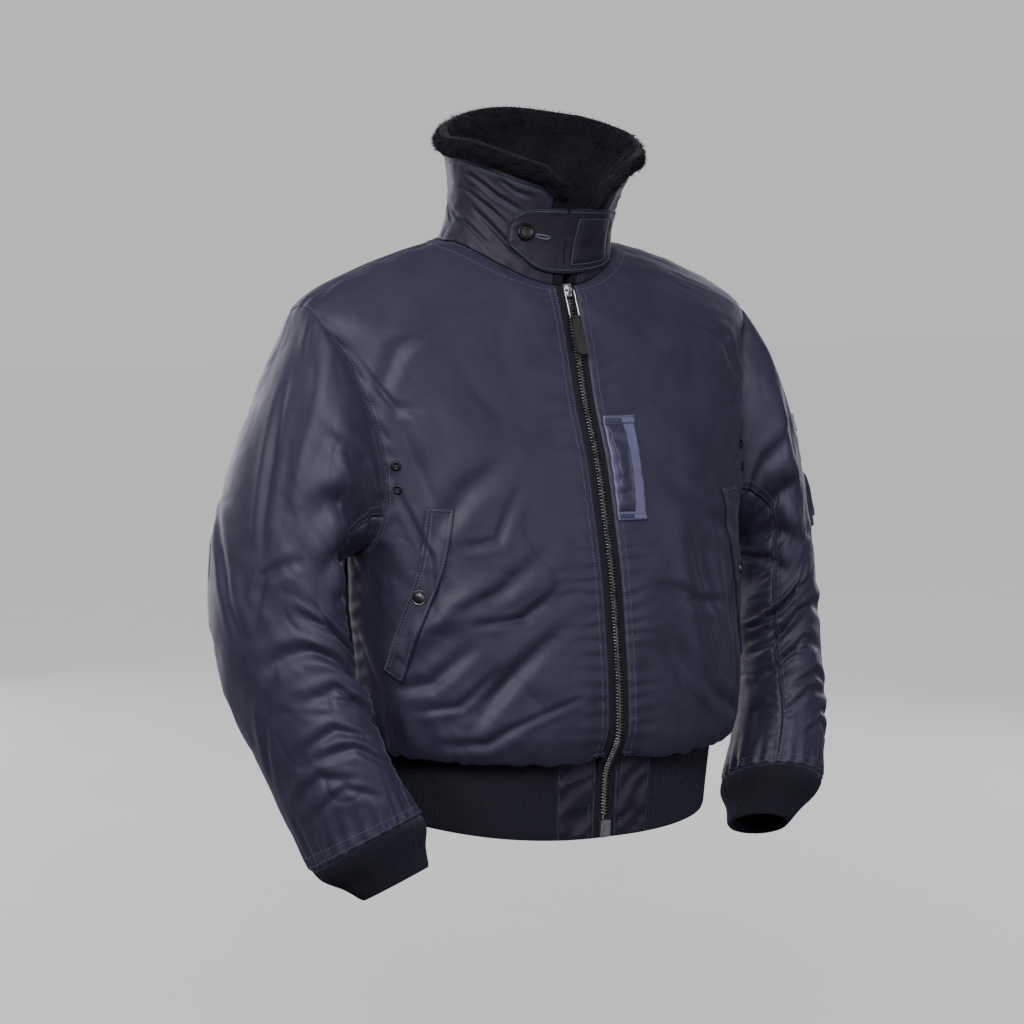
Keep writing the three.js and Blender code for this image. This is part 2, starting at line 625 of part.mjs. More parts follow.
// The pile lines the collar and rolls over its top and front edges.
const pileBack = -collarWall - 0.4;
const pileProfile = [
  ...shellRows.map((rise) => ({ rise, above: 0, out: pileBack })),
  ...namedRows(pileColumns, pileRows),
];
const pileThickAngle = collarEdgeAngle - 0.5 * degree;
const pileAngles = [
  pileEdgeAngle, pileThickAngle, collarEdgeAngle - 0.3 * degree, ...collarAngles,
  2 * Math.PI - collarEdgeAngle + 0.3 * degree, 2 * Math.PI - pileThickAngle,
  2 * Math.PI - pileEdgeAngle,
];
function pileRing(phi) {
  const fromFront = Math.min(phi, 2 * Math.PI - phi);
  const edge = fromFront <= pileThickAngle + 0.001;
  return pileProfile.map(({ rise, above, out }) => {
    const facesShell = out === pileBack || out === pileRows[0][2];
    const height = rise * (collarHeight(phi) - cornerDrop(phi)) + above;
    const turn = fromFront <= pileEdgeAngle
      ? openedAngle(phi, rise, pileOpenRight, pileOpenLeft, 0.5, 1) : shellTurn(phi, rise);
    return collarPlace(turn, height, edge && facesShell ? 0.4 : out);
  });
}
function sweptGeometry(rings) {
  const count = rings[0].length;
  const positions = rings.flat().flatMap((p) => [p.x, p.y, p.z]);
  const faces = [];
  for (let i = 0; i < rings.length - 1; i += 1) {
    for (let j = 0; j < count; j += 1) {
      const a = i * count + j, b = i * count + (j + 1) % count;
      faces.push(a, b, b + count, a, b + count, a + count);
    }
  }
  const contour = pileProfile.map(({ rise, above, out }) => (
    new THREE.Vector2(out, rise * collarHeight(0) + above)));
  const last = (rings.length - 1) * count;
  for (const [a, b, c] of THREE.ShapeUtils.triangulateShape(contour, [])) {
    faces.push(a, c, b, last + a, last + b, last + c);
  }
  return facingOut(positions, faces);
}
addPiece('collar_pile', sweptGeometry(pileAngles.map(pileRing)), pile);

const strapAt = smoothTable(strapColumns, strapRows);
const strapStations = evenly(18).map((t) => strapRows[0][0] + (strapRows.at(-1)[0] - strapRows[0][0]) * t);
const strap = surfaceGrid(strapStations, evenly(4), (across, angle) => {
  const { lowZ, highZ } = strapAt(angle);
  const phi = angle * degree;
  const height = lowZ + (highZ - lowZ) * across - torsoForm(phi, 1).z;
  return {
    outer: collarPlace(phi, height, strapLift + strapWall),
    inner: collarPlace(phi, height, strapLift),
  };
});
addPiece('throat_strap', wallGeometry(strap), nylon);

// Stands a small piece's +Y on a surface, facing out along its normal.
function seat(mesh, point, normal, lift) {
  mesh.position.copy(point).addScaledVector(normal, lift);
  mesh.quaternion.setFromUnitVectors(new THREE.Vector3(0, 1, 0), normal);
}

function latheSolid(profile, segments = 20) {
  const points = profile.map(([radius, height]) => new THREE.Vector2(radius, height));
  return mergedGeometry(new THREE.LatheGeometry(points, segments));
}

const buttonHeight = buttonZ - torsoForm(buttonAngle, 1).z;
const buttonPoint = collarPlace(buttonAngle, buttonHeight, strapLift + strapWall);
const buttonAcross = collarPlace(buttonAngle + 0.05, buttonHeight, 0)
  .sub(collarPlace(buttonAngle - 0.05, buttonHeight, 0));
const buttonUp = collarPlace(buttonAngle, buttonHeight + 5, 0)
  .sub(collarPlace(buttonAngle, buttonHeight - 5, 0));
const buttonNormal = buttonAcross.cross(buttonUp).normalize();
const button = addPiece('throat_button', latheSolid([
  [0, 0], [buttonRadius - 1, 0], [buttonRadius, 1], [buttonRadius, 2.4],
  [buttonRadius - 1, buttonThick], [buttonRadius - 2.4, buttonThick], [buttonRadius - 3.4, 2.6],
  [0, 2.4],
]), darkMetal);
seat(button, buttonPoint, buttonNormal, 0.5);

// A point on the flat facets of a panel's outer face.
function facetPoint(outer, i, j, down, across) {
  const a = outer[i][j], b = outer[i][j + 1], c = outer[i + 1][j + 1], d = outer[i + 1][j];
  const point = a.clone();
  if (across > down) {
    return point.addScaledVector(b.clone().sub(a), across).addScaledVector(c.clone().sub(b), down);
  }
  return point.addScaledVector(d.clone().sub(a), down).addScaledVector(c.clone().sub(d), across);
}

const frontFace = {};
for (const side of [-1, 1]) {
  frontFace[side] = surfaceGrid(torsoPanelRows, frontSpacing(), (u, row) => {
    const end = Math.PI / 2 - armholeFront * row.opening;
    return torsoWall(side * (zipAngle(row.up) + (end - zipAngle(row.up)) * u), row.up);
  }).outer;
}

function bracket(values, value) {
  let i = 0;
  while (i < values.length - 2 && value > values[i + 1]) i += 1;
  return [i, (value - values[i]) / (values[i + 1] - values[i])];
}

function onFront(side, phi, up) {
  const ups = torsoPanelRows.map((row) => row.up);
  const [i, down] = bracket(ups, up);
  const edge = (row) => [zipAngle(row.up), Math.PI / 2 - armholeFront * row.opening];
  const [startA, endA] = edge(torsoPanelRows[i]), [startB, endB] = edge(torsoPanelRows[i + 1]);
  const start = startA + (startB - startA) * down, end = endA + (endB - endA) * down;
  const [j, across] = bracket(frontSpacing(), (phi - start) / (end - start));
  return { point: facetPoint(frontFace[side], i, j, down, across), normal: torsoNormal(side * phi, up) };
}

function onSleeve(side, turn, along) {
  const [i, down] = bracket(sleeveStations, along);
  const steps = turn / (2 * Math.PI) * ringSteps;
  const j = Math.floor(steps);
  const corner = (a, b) => sleeveSurface(side, ringTurn(b), sleeveStations[a]);
  const outer = [[corner(i, j), corner(i, j + 1)], [corner(i + 1, j), corner(i + 1, j + 1)]];
  return { point: facetPoint(outer, 0, 0, down, steps - j), normal: sleeveNormal(side, turn, along) };
}

// A layer between four corners: from the first pair down to the second, s down and t across.
function sewnOn(locate, corners, rows, columns, shape) {
  const mix = (a, b, t) => a + (b - a) * t;
  const grid = surfaceGrid(evenly(rows), evenly(columns), (t, s) => {
    const [angle, place] = [0, 1].map((k) => mix(
      mix(corners[0][k], corners[1][k], t), mix(corners[2][k], corners[3][k], t), s));
    const { point, normal } = locate(angle * degree, place);
    const { lift, wall } = shape(s, t);
    return layer(point, normal, wall, lift);
  });
  return wallGeometry(grid);
}

const plain = (lift, wall) => () => ({ lift, wall });
const padded = (lift, wall) => (s, t) => {
  const edge = Math.min(s, 1 - s, t, 1 - t);
  return { lift, wall: edge < 0.01 ? wall * 0.5 : wall };
};

for (const side of [-1, 1]) {
  const name = sideName(side);
  const locate = (phi, up) => onFront(side, phi, up);
  addPiece(`pocket_flap_${name}`, sewnOn(locate, flapCorners, 14, 3, padded(1.3, 2.6)), nylon);
  const snap = addPiece(`pocket_snap_${name}`, latheSolid([
    [0, 0], [snapRadius, 0], [snapRadius, 1], [snapRadius * 0.85, 2.6], [snapRadius * 0.5, 3.6],
    [0, snapThick],
  ]), darkMetal);
  const { point, normal } = locate(snapPlace[0] * degree, snapPlace[1]);
  seat(snap, point, normal, 4.8);
  eyeletPlaces.forEach(([angle, up], i) => {
    const eyelet = addPiece(`eyelet_${name}_${i + 1}`, mergedGeometry(
      new THREE.TorusGeometry(eyeletRadius, eyeletWire, 6, 14).rotateX(Math.PI / 2)), darkMetal);
    const spot = locate(angle * degree, up);
    seat(eyelet, spot.point, spot.normal, eyeletWire + 0.6);
  });
}

const onLeft = (phi, up) => onFront(1, phi, up);
addPiece('chest_patch', sewnOn(onLeft, chestPatch, 9, 4, plain(1, 1.2)), ribbon);
addPiece('chest_strap', sewnOn(onLeft, chestStrap, 9, 3, (s) => (
  { lift: 2.6 + 3 * Math.sin(Math.PI * s), wall: 2 })), nylon);

const onLeftSleeve = (turn, along) => onSleeve(1, turn, along);
addPiece('sleeve_pocket', sewnOn(onLeftSleeve, sleevePocket, 9, 7, padded(1, 4)), nylon);
addPiece('sleeve_pocket_zip', sewnOn(onLeftSleeve, pocketZip, 7, 1, plain(6.2, 1.4)), tape);
addPiece('pen_pocket', sewnOn(onLeftSleeve, penPocket, 6, 6, padded(6.2, 3)), nylon);

const tip = addPiece('pen_tip', mergedGeometry(
  new THREE.CapsuleGeometry(penTipRadius, penTipLength - 2 * penTipRadius, 3, 10)), steel);

// A frame on the cloth: its X runs across, its Z up the zip and its -Y out of the cloth.
function clothFrame(point, below, normal) {
  const up = point.clone().sub(below);
  up.addScaledVector(normal, -up.dot(normal)).normalize();
  const frame = new THREE.Group();
  frame.position.copy(point);
  const basis = new THREE.Matrix4().makeBasis(up.clone().cross(normal), normal.clone().negate(), up);
  frame.quaternion.setFromRotationMatrix(basis);
  jacket.add(frame);
  return frame;
}

function solid(geometry) {
  const merged = mergedGeometry(geometry);
  return new wasm.Manifold(new wasm.Mesh({
    numProp: 3,
    vertProperties: Float32Array.from(merged.attributes.position.array),
    triVerts: Uint32Array.from(merged.index.array),
  }));
}

function solidGeometry(body) {
  const { vertProperties, triVerts } = body.getMesh();
  return facingOut(Array.from(vertProperties), Array.from(triVerts));
}

function outline(points, corner = 0) {
  const shape = new THREE.Shape();
  points.forEach(([x, y], i) => {
    const [px, py] = points[(i + points.length - 1) % points.length];
    const [nx, ny] = points[(i + 1) % points.length];
    const cut = (ax, ay) => {
      const t = Math.min(corner / Math.hypot(ax - x, ay - y), 0.45);
      return [x + (ax - x) * t, y + (ay - y) * t];
    };
    const [start, end] = [cut(px, py), cut(nx, ny)];
    if (i === 0) shape.moveTo(...start);
    else shape.lineTo(...start);
    if (corner > 0) shape.quadraticCurveTo(x, y, ...end);
  });
  return shape;
}

const flatOptions = (depth) => ({ depth, bevelEnabled: false, curveSegments: 3 });

// A plate seen from the front, its back at the height lift above the cloth.
function plate(shape, lift, thickness) {
  return new THREE.ExtrudeGeometry(shape, flatOptions(thickness))
    .rotateX(Math.PI / 2).translate(0, -lift, 0);
}

// A profile seen from the side (x up the zip, y out), centred across.
function sideProfile(shape, width) {
  const turn = new THREE.Matrix4().makeBasis(
    new THREE.Vector3(0, 0, 1), new THREE.Vector3(0, -1, 0), new THREE.Vector3(1, 0, 0));
  return new THREE.ExtrudeGeometry(shape, flatOptions(width)).translate(0, 0, -width / 2)
    .applyMatrix4(turn);
}

// A slider: a plate narrower below, and a bridge with a hole across for the pull.
function sliderGeometry({ width, length, lift, plate: thick, bridge, pivotOut, hole }) {
  const half = length / 2;
  const face = outline([
    [width / 2, half], [-width / 2, half], [-width * 0.36, -half], [width * 0.36, -half],
  ], 1.2);
  const foot = half * 0.8, low = lift + thick / 2, top = pivotOut + hole + 1.3;
  const arch = outline([
    [-foot, low], [foot, low], [foot * 0.7, top - 1.4], [foot * 0.35, top], [-foot * 0.35, top],
    [-foot * 0.7, top - 1.4],
  ]);
  arch.holes.push(new THREE.Path().absarc(0, pivotOut, hole, 0, 2 * Math.PI, true));
  const options = sideProfile(arch, bridge);
  return solidGeometry(solid(plate(face, lift, thick)).add(solid(options)));
}

// A closed loop of round wire hanging from the middle of its upper bar.
function wireLoop({ width, length, wire }) {
  const across = (width - wire) / 2, down = length - wire, corner = 1.6 * wire;
  const path = outline([[across, 0], [across, -down], [-across, -down], [-across, 0]], corner);
  const points = path.getPoints(3);
  if (points[0].distanceTo(points.at(-1)) < 0.001) points.pop();
  const sides = 8;
  const positions = points.flatMap((point, i) => {
    const before = points[(i + points.length - 1) % points.length];
    const after = points[(i + 1) % points.length];
    const ahead = after.clone().sub(before).normalize();
    return Array.from({ length: sides }, (_, k) => {
      const angle = 2 * Math.PI * (k + 0.5) / sides;
      const out = wire / 2 * Math.cos(angle);
      return [point.x + ahead.y * out, wire / 2 * Math.sin(angle), point.y - ahead.x * out];
    }).flat();
  });
  const faces = [];
  points.forEach((_, i) => {
    for (let k = 0; k < sides; k += 1) {
      const next = (i + 1) % points.length * sides, here = i * sides, turn = (k + 1) % sides;
      faces.push(here + k, next + k, next + turn, here + k, next + turn, here + turn);
    }
  });
  return facingOut(positions, faces);
}

const torsoFrame = (up) => clothFrame(
  torsoForm(0, up), torsoForm(0, up - 0.03), torsoNormal(0, up));
const zipFrame = torsoFrame(sliderUp);
addPiece('zip_slider', sliderGeometry(frontSlider), steel, zipFrame);
const pullFrame = new THREE.Group();
pullFrame.position.y = -frontSlider.pivotOut;
zipFrame.add(pullFrame);
addPiece('zip_pull_wire', wireLoop(frontPull), steel, pullFrame);

// The leather tab folds round the wire's lower bar.
const barZ = frontPull.wire - frontPull.length;
const tabTop = barZ - tabShoulder, tabEnd = barZ - tabLength;
const tabBody = plate(outline([
  [tabTopWidth / 2, tabTop], [-tabTopWidth / 2, tabTop],
  [-tabWidth / 2, tabEnd], [tabWidth / 2, tabEnd],
], tabCorner), -tabWall / 2, tabWall);
const tabNeckPart = plate(outline([
  [tabNeck / 2, barZ], [-tabNeck / 2, barZ],
  [-tabNeck / 2, tabTop - tabCorner], [tabNeck / 2, tabTop - tabCorner],
]), -tabWall / 2, tabWall);
const crossBar = (radius, length) => new THREE.CylinderGeometry(radius, radius, length, 12)
  .rotateZ(Math.PI / 2).translate(0, 0, barZ);
addPiece('zip_pull_tab', solidGeometry(
  solid(tabBody).add(solid(tabNeckPart)).add(solid(crossBar(tabBarrel, tabNeck)))
    .subtract(solid(crossBar(tabTunnel, tabWidth)))), leather, pullFrame);

const boxPoint = hemForm(0, (boxDown[0] + boxDown[1]) / 2);
const boxTilt = hemForm(0, boxDown[0]).sub(hemForm(0, boxDown[1]));
const boxFrame = clothFrame(
  boxPoint, boxPoint.clone().sub(boxTilt), new THREE.Vector3(0, -1, 0)
    .addScaledVector(boxTilt, boxTilt.y / boxTilt.lengthSq()).normalize());
addPiece('zip_box', mergedGeometry(plate(outline([
  [boxWidth / 2, boxLength / 2], [-boxWidth / 2, boxLength / 2],
  [-boxWidth / 2, -boxLength / 2], [boxWidth / 2, -boxLength / 2],
], 2), boxLift, boxThick)), steel, boxFrame);

const [sliderTurn, sliderAlong] = [pocketSliderPlace[0] * degree, pocketSliderPlace[1]];
const pocketSpot = onLeftSleeve(sliderTurn, sliderAlong);
const pocketFrame = clothFrame(
  pocketSpot.point, onLeftSleeve(sliderTurn, sliderAlong + 0.03).point, pocketSpot.normal);
addPiece('sleeve_zip_slider', sliderGeometry(pocketSlider), steel, pocketFrame);
const sleevePull = addPiece('sleeve_zip_pull', wireLoop(pocketPull), steel, pocketFrame);
sleevePull.position.y = -pocketSlider.pivotOut;

const tipSpot = onLeftSleeve(penTipPlace[0] * degree, penTipPlace[1] + 0.012);
const tipFrame = clothFrame(
  tipSpot.point, onLeftSleeve(penTipPlace[0] * degree, penTipPlace[1] + 0.04).point, tipSpot.normal);
tipFrame.add(tip);
tip.rotation.x = Math.PI / 2;
tip.position.y = -(penTipRadius + 3.2);

export default jacket;
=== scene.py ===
import bpy
import numpy as np
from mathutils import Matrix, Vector


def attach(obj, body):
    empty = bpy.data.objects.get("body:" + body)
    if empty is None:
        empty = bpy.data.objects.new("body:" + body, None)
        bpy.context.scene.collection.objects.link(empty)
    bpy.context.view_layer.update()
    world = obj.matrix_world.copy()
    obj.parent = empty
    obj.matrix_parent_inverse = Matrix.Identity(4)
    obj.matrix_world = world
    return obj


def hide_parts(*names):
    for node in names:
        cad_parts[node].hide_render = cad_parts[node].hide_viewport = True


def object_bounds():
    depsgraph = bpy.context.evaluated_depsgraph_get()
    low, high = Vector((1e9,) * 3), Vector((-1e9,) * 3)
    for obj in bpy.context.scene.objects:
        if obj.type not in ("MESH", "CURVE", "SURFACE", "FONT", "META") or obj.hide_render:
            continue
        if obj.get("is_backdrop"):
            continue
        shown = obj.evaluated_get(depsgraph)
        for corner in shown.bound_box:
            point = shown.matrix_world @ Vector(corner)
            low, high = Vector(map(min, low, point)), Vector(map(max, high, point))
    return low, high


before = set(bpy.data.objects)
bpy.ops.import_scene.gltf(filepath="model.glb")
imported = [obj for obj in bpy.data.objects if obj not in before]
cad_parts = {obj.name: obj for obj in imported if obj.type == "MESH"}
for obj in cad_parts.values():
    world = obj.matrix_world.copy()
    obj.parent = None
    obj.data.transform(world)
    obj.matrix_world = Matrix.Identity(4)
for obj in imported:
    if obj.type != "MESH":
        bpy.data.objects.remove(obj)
cadBox = [list(corner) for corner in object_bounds()]
degree = np.pi / 180
sideName = {-1: "right", 1: "left"}  # the wearer's own sides
print("frame loaded:", len(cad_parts), "solids")

camera = {"azimuth": -34, "elevation": 7, "distance": 2.9, "target": (0, -0.03, -0.32),
          "lens": 92.4, "shift": (-0.0273, 0.0195)}
studio = {"backdrop": (0.66, 0.66, 0.665), "light": (0.72, 0.74, 0.8), "strength": 0.19,
          "floorGlow": 0.9}
lights = [  # name, place, size, power, colour
    ("keyLight", (-2.0, -2.4, 1.9), 1.4, 112, (1.0, 0.985, 0.97)),
    ("sideLight", (-3.0, -0.7, 1.3), 0.9, 46, (1.0, 0.985, 0.97)),
    ("fillLight", (0.9, -2.9, 0.3), 2.0, 27, (0.94, 0.95, 1.0)),
    ("rimLight", (2.4, 1.4, 0.2), 1.6, 26, (0.95, 0.97, 1.0)),
    ("backLight", (-0.5, 3.0, 0.1), 2.2, 60, (0.98, 0.98, 1.0)),
    ("topLight", (-0.4, -0.3, 2.6), 1.6, 8, (1, 1, 1)),
]


def makeCamera():
    data = bpy.data.cameras.new("camera")
    made = bpy.data.objects.new("camera", data)
    bpy.context.collection.objects.link(made)
    a, e = camera["azimuth"] * degree, camera["elevation"] * degree
    back = Vector((np.sin(a) * np.cos(e), -np.cos(a) * np.cos(e), np.sin(e)))
    made.location = Vector(camera["target"]) + back * camera["distance"]
    made.rotation_euler = (-back).to_track_quat("-Z", "Y").to_euler()
    data.lens = camera["lens"]
    data.shift_x, data.shift_y = camera["shift"]
    bpy.context.scene.camera = made


def makeLights():
    target = Vector(camera["target"])
    for name, place, size, power, colour in lights:
        data = bpy.data.lights.new(name, "AREA")
        data.energy, data.size, data.color = power, size, colour
        made = bpy.data.objects.new(name, data)
        made.location = place
        made.rotation_euler = (target - Vector(place)).to_track_quat("-Z", "Y").to_euler()
        bpy.context.collection.objects.link(made)
    world = bpy.context.scene.world or bpy.data.worlds.new("studio")
    bpy.context.scene.world = world
    world.use_nodes = True
    nodes, links = world.node_tree.nodes, world.node_tree.links
    seen, light = nodes["Background"], nodes.new("ShaderNodeBackground")  # backdrop, and its light
    seen.inputs[0].default_value = (*studio["backdrop"], 1)
    light.inputs[0].default_value = (*studio["light"], 1)
    light.inputs[1].default_value = studio["strength"]
    mix, path = nodes.new("ShaderNodeMixShader"), nodes.new("ShaderNodeLightPath")
    links.new(path.outputs["Is Camera Ray"], mix.inputs[0])
    links.new(light.outputs[0], mix.inputs[1])
    links.new(seen.outputs[0], mix.inputs[2])
    links.new(mix.outputs[0], nodes["World Output"].inputs["Surface"])


makeCamera()
makeLights()


# Number sockets: + * / on them add Math nodes to the finish they belong to.
class Level:
    def __init__(self, finish, socket):
        self.finish, self.socket = finish, socket

    def maths(self, operation, *values):
        return self.finish.node("Math", {"operation": operation}, dict(enumerate(values)))

    def __add__(self, other):
        return self.maths("ADD", self, other)

    def __mul__(self, other):
        return self.maths("MULTIPLY", self, other)

    def __truediv__(self, other):
        return self.maths("DIVIDE", self, other)

    def wave(self):
        return self.maths("SINE", self)

    __radd__, __rmul__ = __add__, __mul__


# A material being made: node() adds any node, from its type, settings and socket values.
class Finish:
    def __init__(self, name):
        self.material = bpy.data.materials.new(name)
        self.material.use_nodes = True
        self.tree = self.material.node_tree
        self.tree.nodes.clear()

    def node(self, kind, settings=None, sockets=None, output=0):
        made = self.tree.nodes.new("ShaderNode" + kind)
        for name, value in (settings or {}).items():
            if name == "stops":
                for _ in value[2:]:
                    made.color_ramp.elements.new(0.5)
                for element, (place, colour) in zip(made.color_ramp.elements, value):
                    element.position, element.color = place, colour
            else:
                setattr(made, name, value)
        for name, value in (sockets or {}).items():
            if isinstance(value, Level):
                self.tree.links.new(value.socket, made.inputs[name])
            else:
                made.inputs[name].default_value = value
        return Level(self, made.outputs[output])

    def shade(self, colour, roughness, height=None, bump=0.0005, **sockets):
        values = {"Base Color": colour, "Roughness": roughness, **sockets}
        if height is not None:
            values["Normal"] = self.node("Bump", {}, {"Strength": 1.0, "Distance": bump,
                                                      "Height": height})
        surface = self.node("BsdfPrincipled", {}, values)
        output = self.tree.nodes.new("ShaderNodeOutputMaterial")
        self.tree.links.new(surface.socket, output.inputs["Surface"])
        return self.material

    def objectPlace(self):
        return self.node("TexCoord", {}, {}, "Object")

    # The cloth's own place: the whole of it, then how far across and how far along.
    def clothPlace(self):
        place = self.node("UVMap", {"uv_map": "cloth"}, {})
        axes = self.node("SeparateXYZ", {}, {"Vector": place})
        return place, axes, Level(self, axes.socket.node.outputs["Y"])

    def stretched(self, place, scales):
        return self.node("VectorMath", {"operation": "MULTIPLY"}, {0: place, 1: scales})

    def noise(self, place, scale, detail=3, roughness=0.5):
        return self.node("TexNoise", {}, {"Vector": place, "Scale": scale, "Detail": detail,
                                          "Roughness": roughness}, "Fac")

    def ramp(self, level, low, high):
        return self.node("MapRange", {}, {"Value": level, "To Min": low, "To Max": high})

    def tint(self, level, first, second):
        return self.node("ValToRGB", {"stops": [(0.3, (*first, 1)), (0.7, (*second, 1))]},
                         {"Fac": level}, "Color")


def makeNylon(name, first, second, roughness):
    made = Finish(name)
    place, across, along = made.clothPlace()
    fill = ((across + along) * 4200).wave() * 0.5 + (along * 9000).wave() * 0.5
    mottle = made.noise(made.objectPlace(), 26, 4, 0.55)
    slub = made.noise(made.stretched(place, (900, 60, 1)), 1, 2)
    height = fill * 0.35 + slub * 0.5 + made.noise(place, 260, 3) * 0.9
    return made.shade(made.tint(mottle * 0.7 + slub * 0.3, first, second),
                      made.ramp(mottle, roughness - 0.05, roughness + 0.07), height, 0.00007,
                      **{"Sheen Weight": 0.1, "Sheen Roughness": 0.4,
                         "Sheen Tint": (0.7, 0.7, 1, 1), "Specular IOR Level": 0.45,
                         "Specular Tint": (0.86, 0.85, 1, 1)})


def makeKnit():
    made = Finish("ribKnit")
    across, along = made.clothPlace()[1:]
    lean = (across * 2 * np.pi / 0.0026).wave() * 1.4
    loops = (along * 2 * np.pi / 0.0019 + lean).wave()
    fuzz = made.noise(made.objectPlace(), 900, 3)
    return made.shade(made.tint(loops * 0.2 + fuzz * 0.8, (0.0038, 0.0042, 0.0075),
                                (0.0105, 0.0115, 0.019)),
                      made.ramp(fuzz, 0.78, 0.95), loops * 0.6 + fuzz, 0.0004,
                      **{"Sheen Weight": 0.2, "Sheen Roughness": 0.5, "Specular IOR Level": 0.25,
                         "Sheen Tint": (0.55, 0.58, 0.85, 1)})


def makePile():
    made = Finish("collarPile")
    place = made.objectPlace()
    patches, fibres = made.noise(place, 45, 4), made.noise(place, 520, 3)
    return made.shade(made.tint(patches * 0.6 + fibres * 0.4, (0.0025, 0.0025, 0.0038),
                                (0.0085, 0.009, 0.0125)),
                      made.ramp(fibres, 0.8, 1.0), fibres + patches, 0.0012,
                      **{"Sheen Weight": 0.1, "Sheen Roughness": 0.45, "Specular IOR Level": 0.15,
                         "Sheen Tint": (0.6, 0.62, 0.8, 1)})


def makeTape(name, first, second):
    made = Finish(name)
    place, across, along = made.clothPlace()
    bones = ((along + (across * 1500).wave() * 0.0003) * 2 * np.pi / 0.0011).wave()
    fuzz = made.noise(place, 700, 2)
    return made.shade(made.tint(fuzz * 0.7 + bones * 0.15 + 0.1, first, second),
                      made.ramp(fuzz, 0.62, 0.8), bones * 0.7 + fuzz, 0.00015,
                      **{"Sheen Weight": 0.05, "Specular IOR Level": 0.25})


def makeMetal(name, first, second, roughness):
    made = Finish(name)
    place = made.objectPlace()
    wear = made.noise(place, 160, 4)
    scratches = made.noise(made.stretched(place, (2500, 2500, 160)), 1, 2)
    return made.shade(made.tint(wear, first, second),
                      made.ramp(wear * 0.6 + scratches * 0.4, roughness - 0.08, roughness + 0.2),
                      scratches + wear * 0.5, 0.00005, Metallic=1.0)


def makeLeather():
    made = Finish("tabLeather")
    place = made.objectPlace()
    grain = made.node("TexVoronoi", {"feature": "DISTANCE_TO_EDGE"},
                      {"Vector": place, "Scale": 900}, "Distance")
    wear = made.noise(place, 120, 4)
    return made.shade(made.tint(wear, (0.009, 0.0085, 0.008), (0.024, 0.023, 0.02)),
                      made.ramp(wear, 0.42, 0.62), grain * 3 + wear * 0.4, 0.0002)


def makeThread():
    made = Finish("seamThread")
    twist = made.noise(made.objectPlace(), 1800, 2)
    return made.shade(made.tint(twist, (0.05, 0.052, 0.078), (0.11, 0.115, 0.16)),
                      made.ramp(twist, 0.45, 0.65), twist, 0.0001)


def makeFloor():
    made = Finish("paleFloor")
    soft = made.noise(made.objectPlace(), 3, 3)
    return made.shade(made.tint(soft, (0.2, 0.2, 0.2), (0.22, 0.22, 0.22)),
                      made.ramp(soft, 0.75, 0.85), soft, 0.0002,
                      **{"Emission Color": (*studio["backdrop"], 1),
                         "Emission Strength": studio["floorGlow"]})


nylon = makeNylon("satinNylon", (0.0165, 0.0157, 0.034), (0.026, 0.0245, 0.049), 0.54)
# The same satin nylon made darker: painted shade for the collar shell and the hem facings, which lie in
# shade.
shadedNylon = makeNylon("shadedNylon", (0.0065, 0.0063, 0.0135), (0.0112, 0.0107, 0.021), 0.6)
ribKnit, collarPile, seamThread = makeKnit(), makePile(), makeThread()
zipTapeCloth = makeTape("zipTapeCloth", (0.0055, 0.0055, 0.0095), (0.0125, 0.0125, 0.0205))
lilacRibbon = makeNylon("lilacRibbon", (0.085, 0.085, 0.17), (0.13, 0.128, 0.235), 0.45)
strapRibbon = makeNylon("strapRibbon", (0.019, 0.019, 0.040), (0.037, 0.036, 0.071), 0.36)
# The throat strap's nylon, darker than the body's: painted shade.
shadedStrapNylon = makeNylon("shadedStrapNylon", (0.0038, 0.0037, 0.0072), (0.0068, 0.0065, 0.0125), 0.58)
toothMetal = makeMetal("toothMetal", (0.12, 0.12, 0.125), (0.34, 0.34, 0.35), 0.34)
nickel = makeMetal("satinNickel", (0.34, 0.34, 0.355), (0.56, 0.56, 0.58), 0.3)
blackMetal = makeMetal("blackenedMetal", (0.05, 0.05, 0.053), (0.14, 0.14, 0.145), 0.3)
darkMetal = makeMetal("darkMetal", (0.016, 0.016, 0.018), (0.05, 0.05, 0.053), 0.38)
tabLeather = makeLeather()
print("finishes made")


# An eased step: 0 up to low, 1 from high on, and 3t^2 - 2t^3 between them.
def smoothStep(low, high, value):
    t = np.clip((value - low) / (high - low), 0, 1)
    return t * t * (3 - 2 * t)

# A bell curve: 1 at nought, and falling away on both sides.
def bell(value):
    return np.exp(-value * value)


# 1 inside a share that runs from 0 to 1, easing to nought over first and last at its ends.
def insideEnds(share, first, last=None):
    return smoothStep(0, first, share) * smoothStep(0, last or first, 1 - share)


# An angle brought to between -180 and 180 degrees.
def signedTurn(angle):
    return (angle + np.pi) % (2 * np.pi) - np.pi


# The weights of a cubic over t from 0 to 1: first value, first slope, last value, last slope.
def cubicShares(t):
    return 2 * t**3 - 3 * t**2 + 1, t**3 - 2 * t**2 + t, 3 * t**2 - 2 * t**3, t**3 - t**2


# A smooth curve through each column of a table (cubic, slopes from the rows on either side).
def smoothTable(columns, rows):
    rows = np.array(rows, float)
    keys = rows[:, 0]
    low = np.r_[0, np.arange(len(keys) - 1)]
    high = np.r_[np.arange(1, len(keys)), len(keys) - 1]
    slopes = (rows[high] - rows[low]) / (keys[high] - keys[low])[:, None]

    def lookUp(place):
        i = np.clip(np.searchsorted(keys, place) - 1, 0, len(keys) - 2)
        span = keys[i + 1] - keys[i]
        first, leave, last, arrive = cubicShares(np.clip((place - keys[i]) / span, 0, 1))
        return {name: rows[i, k] * first + slopes[i, k] * span * leave + rows[i + 1, k] * last
                + slopes[i + 1, k] * span * arrive for k, name in enumerate(columns)}
    return lookUp


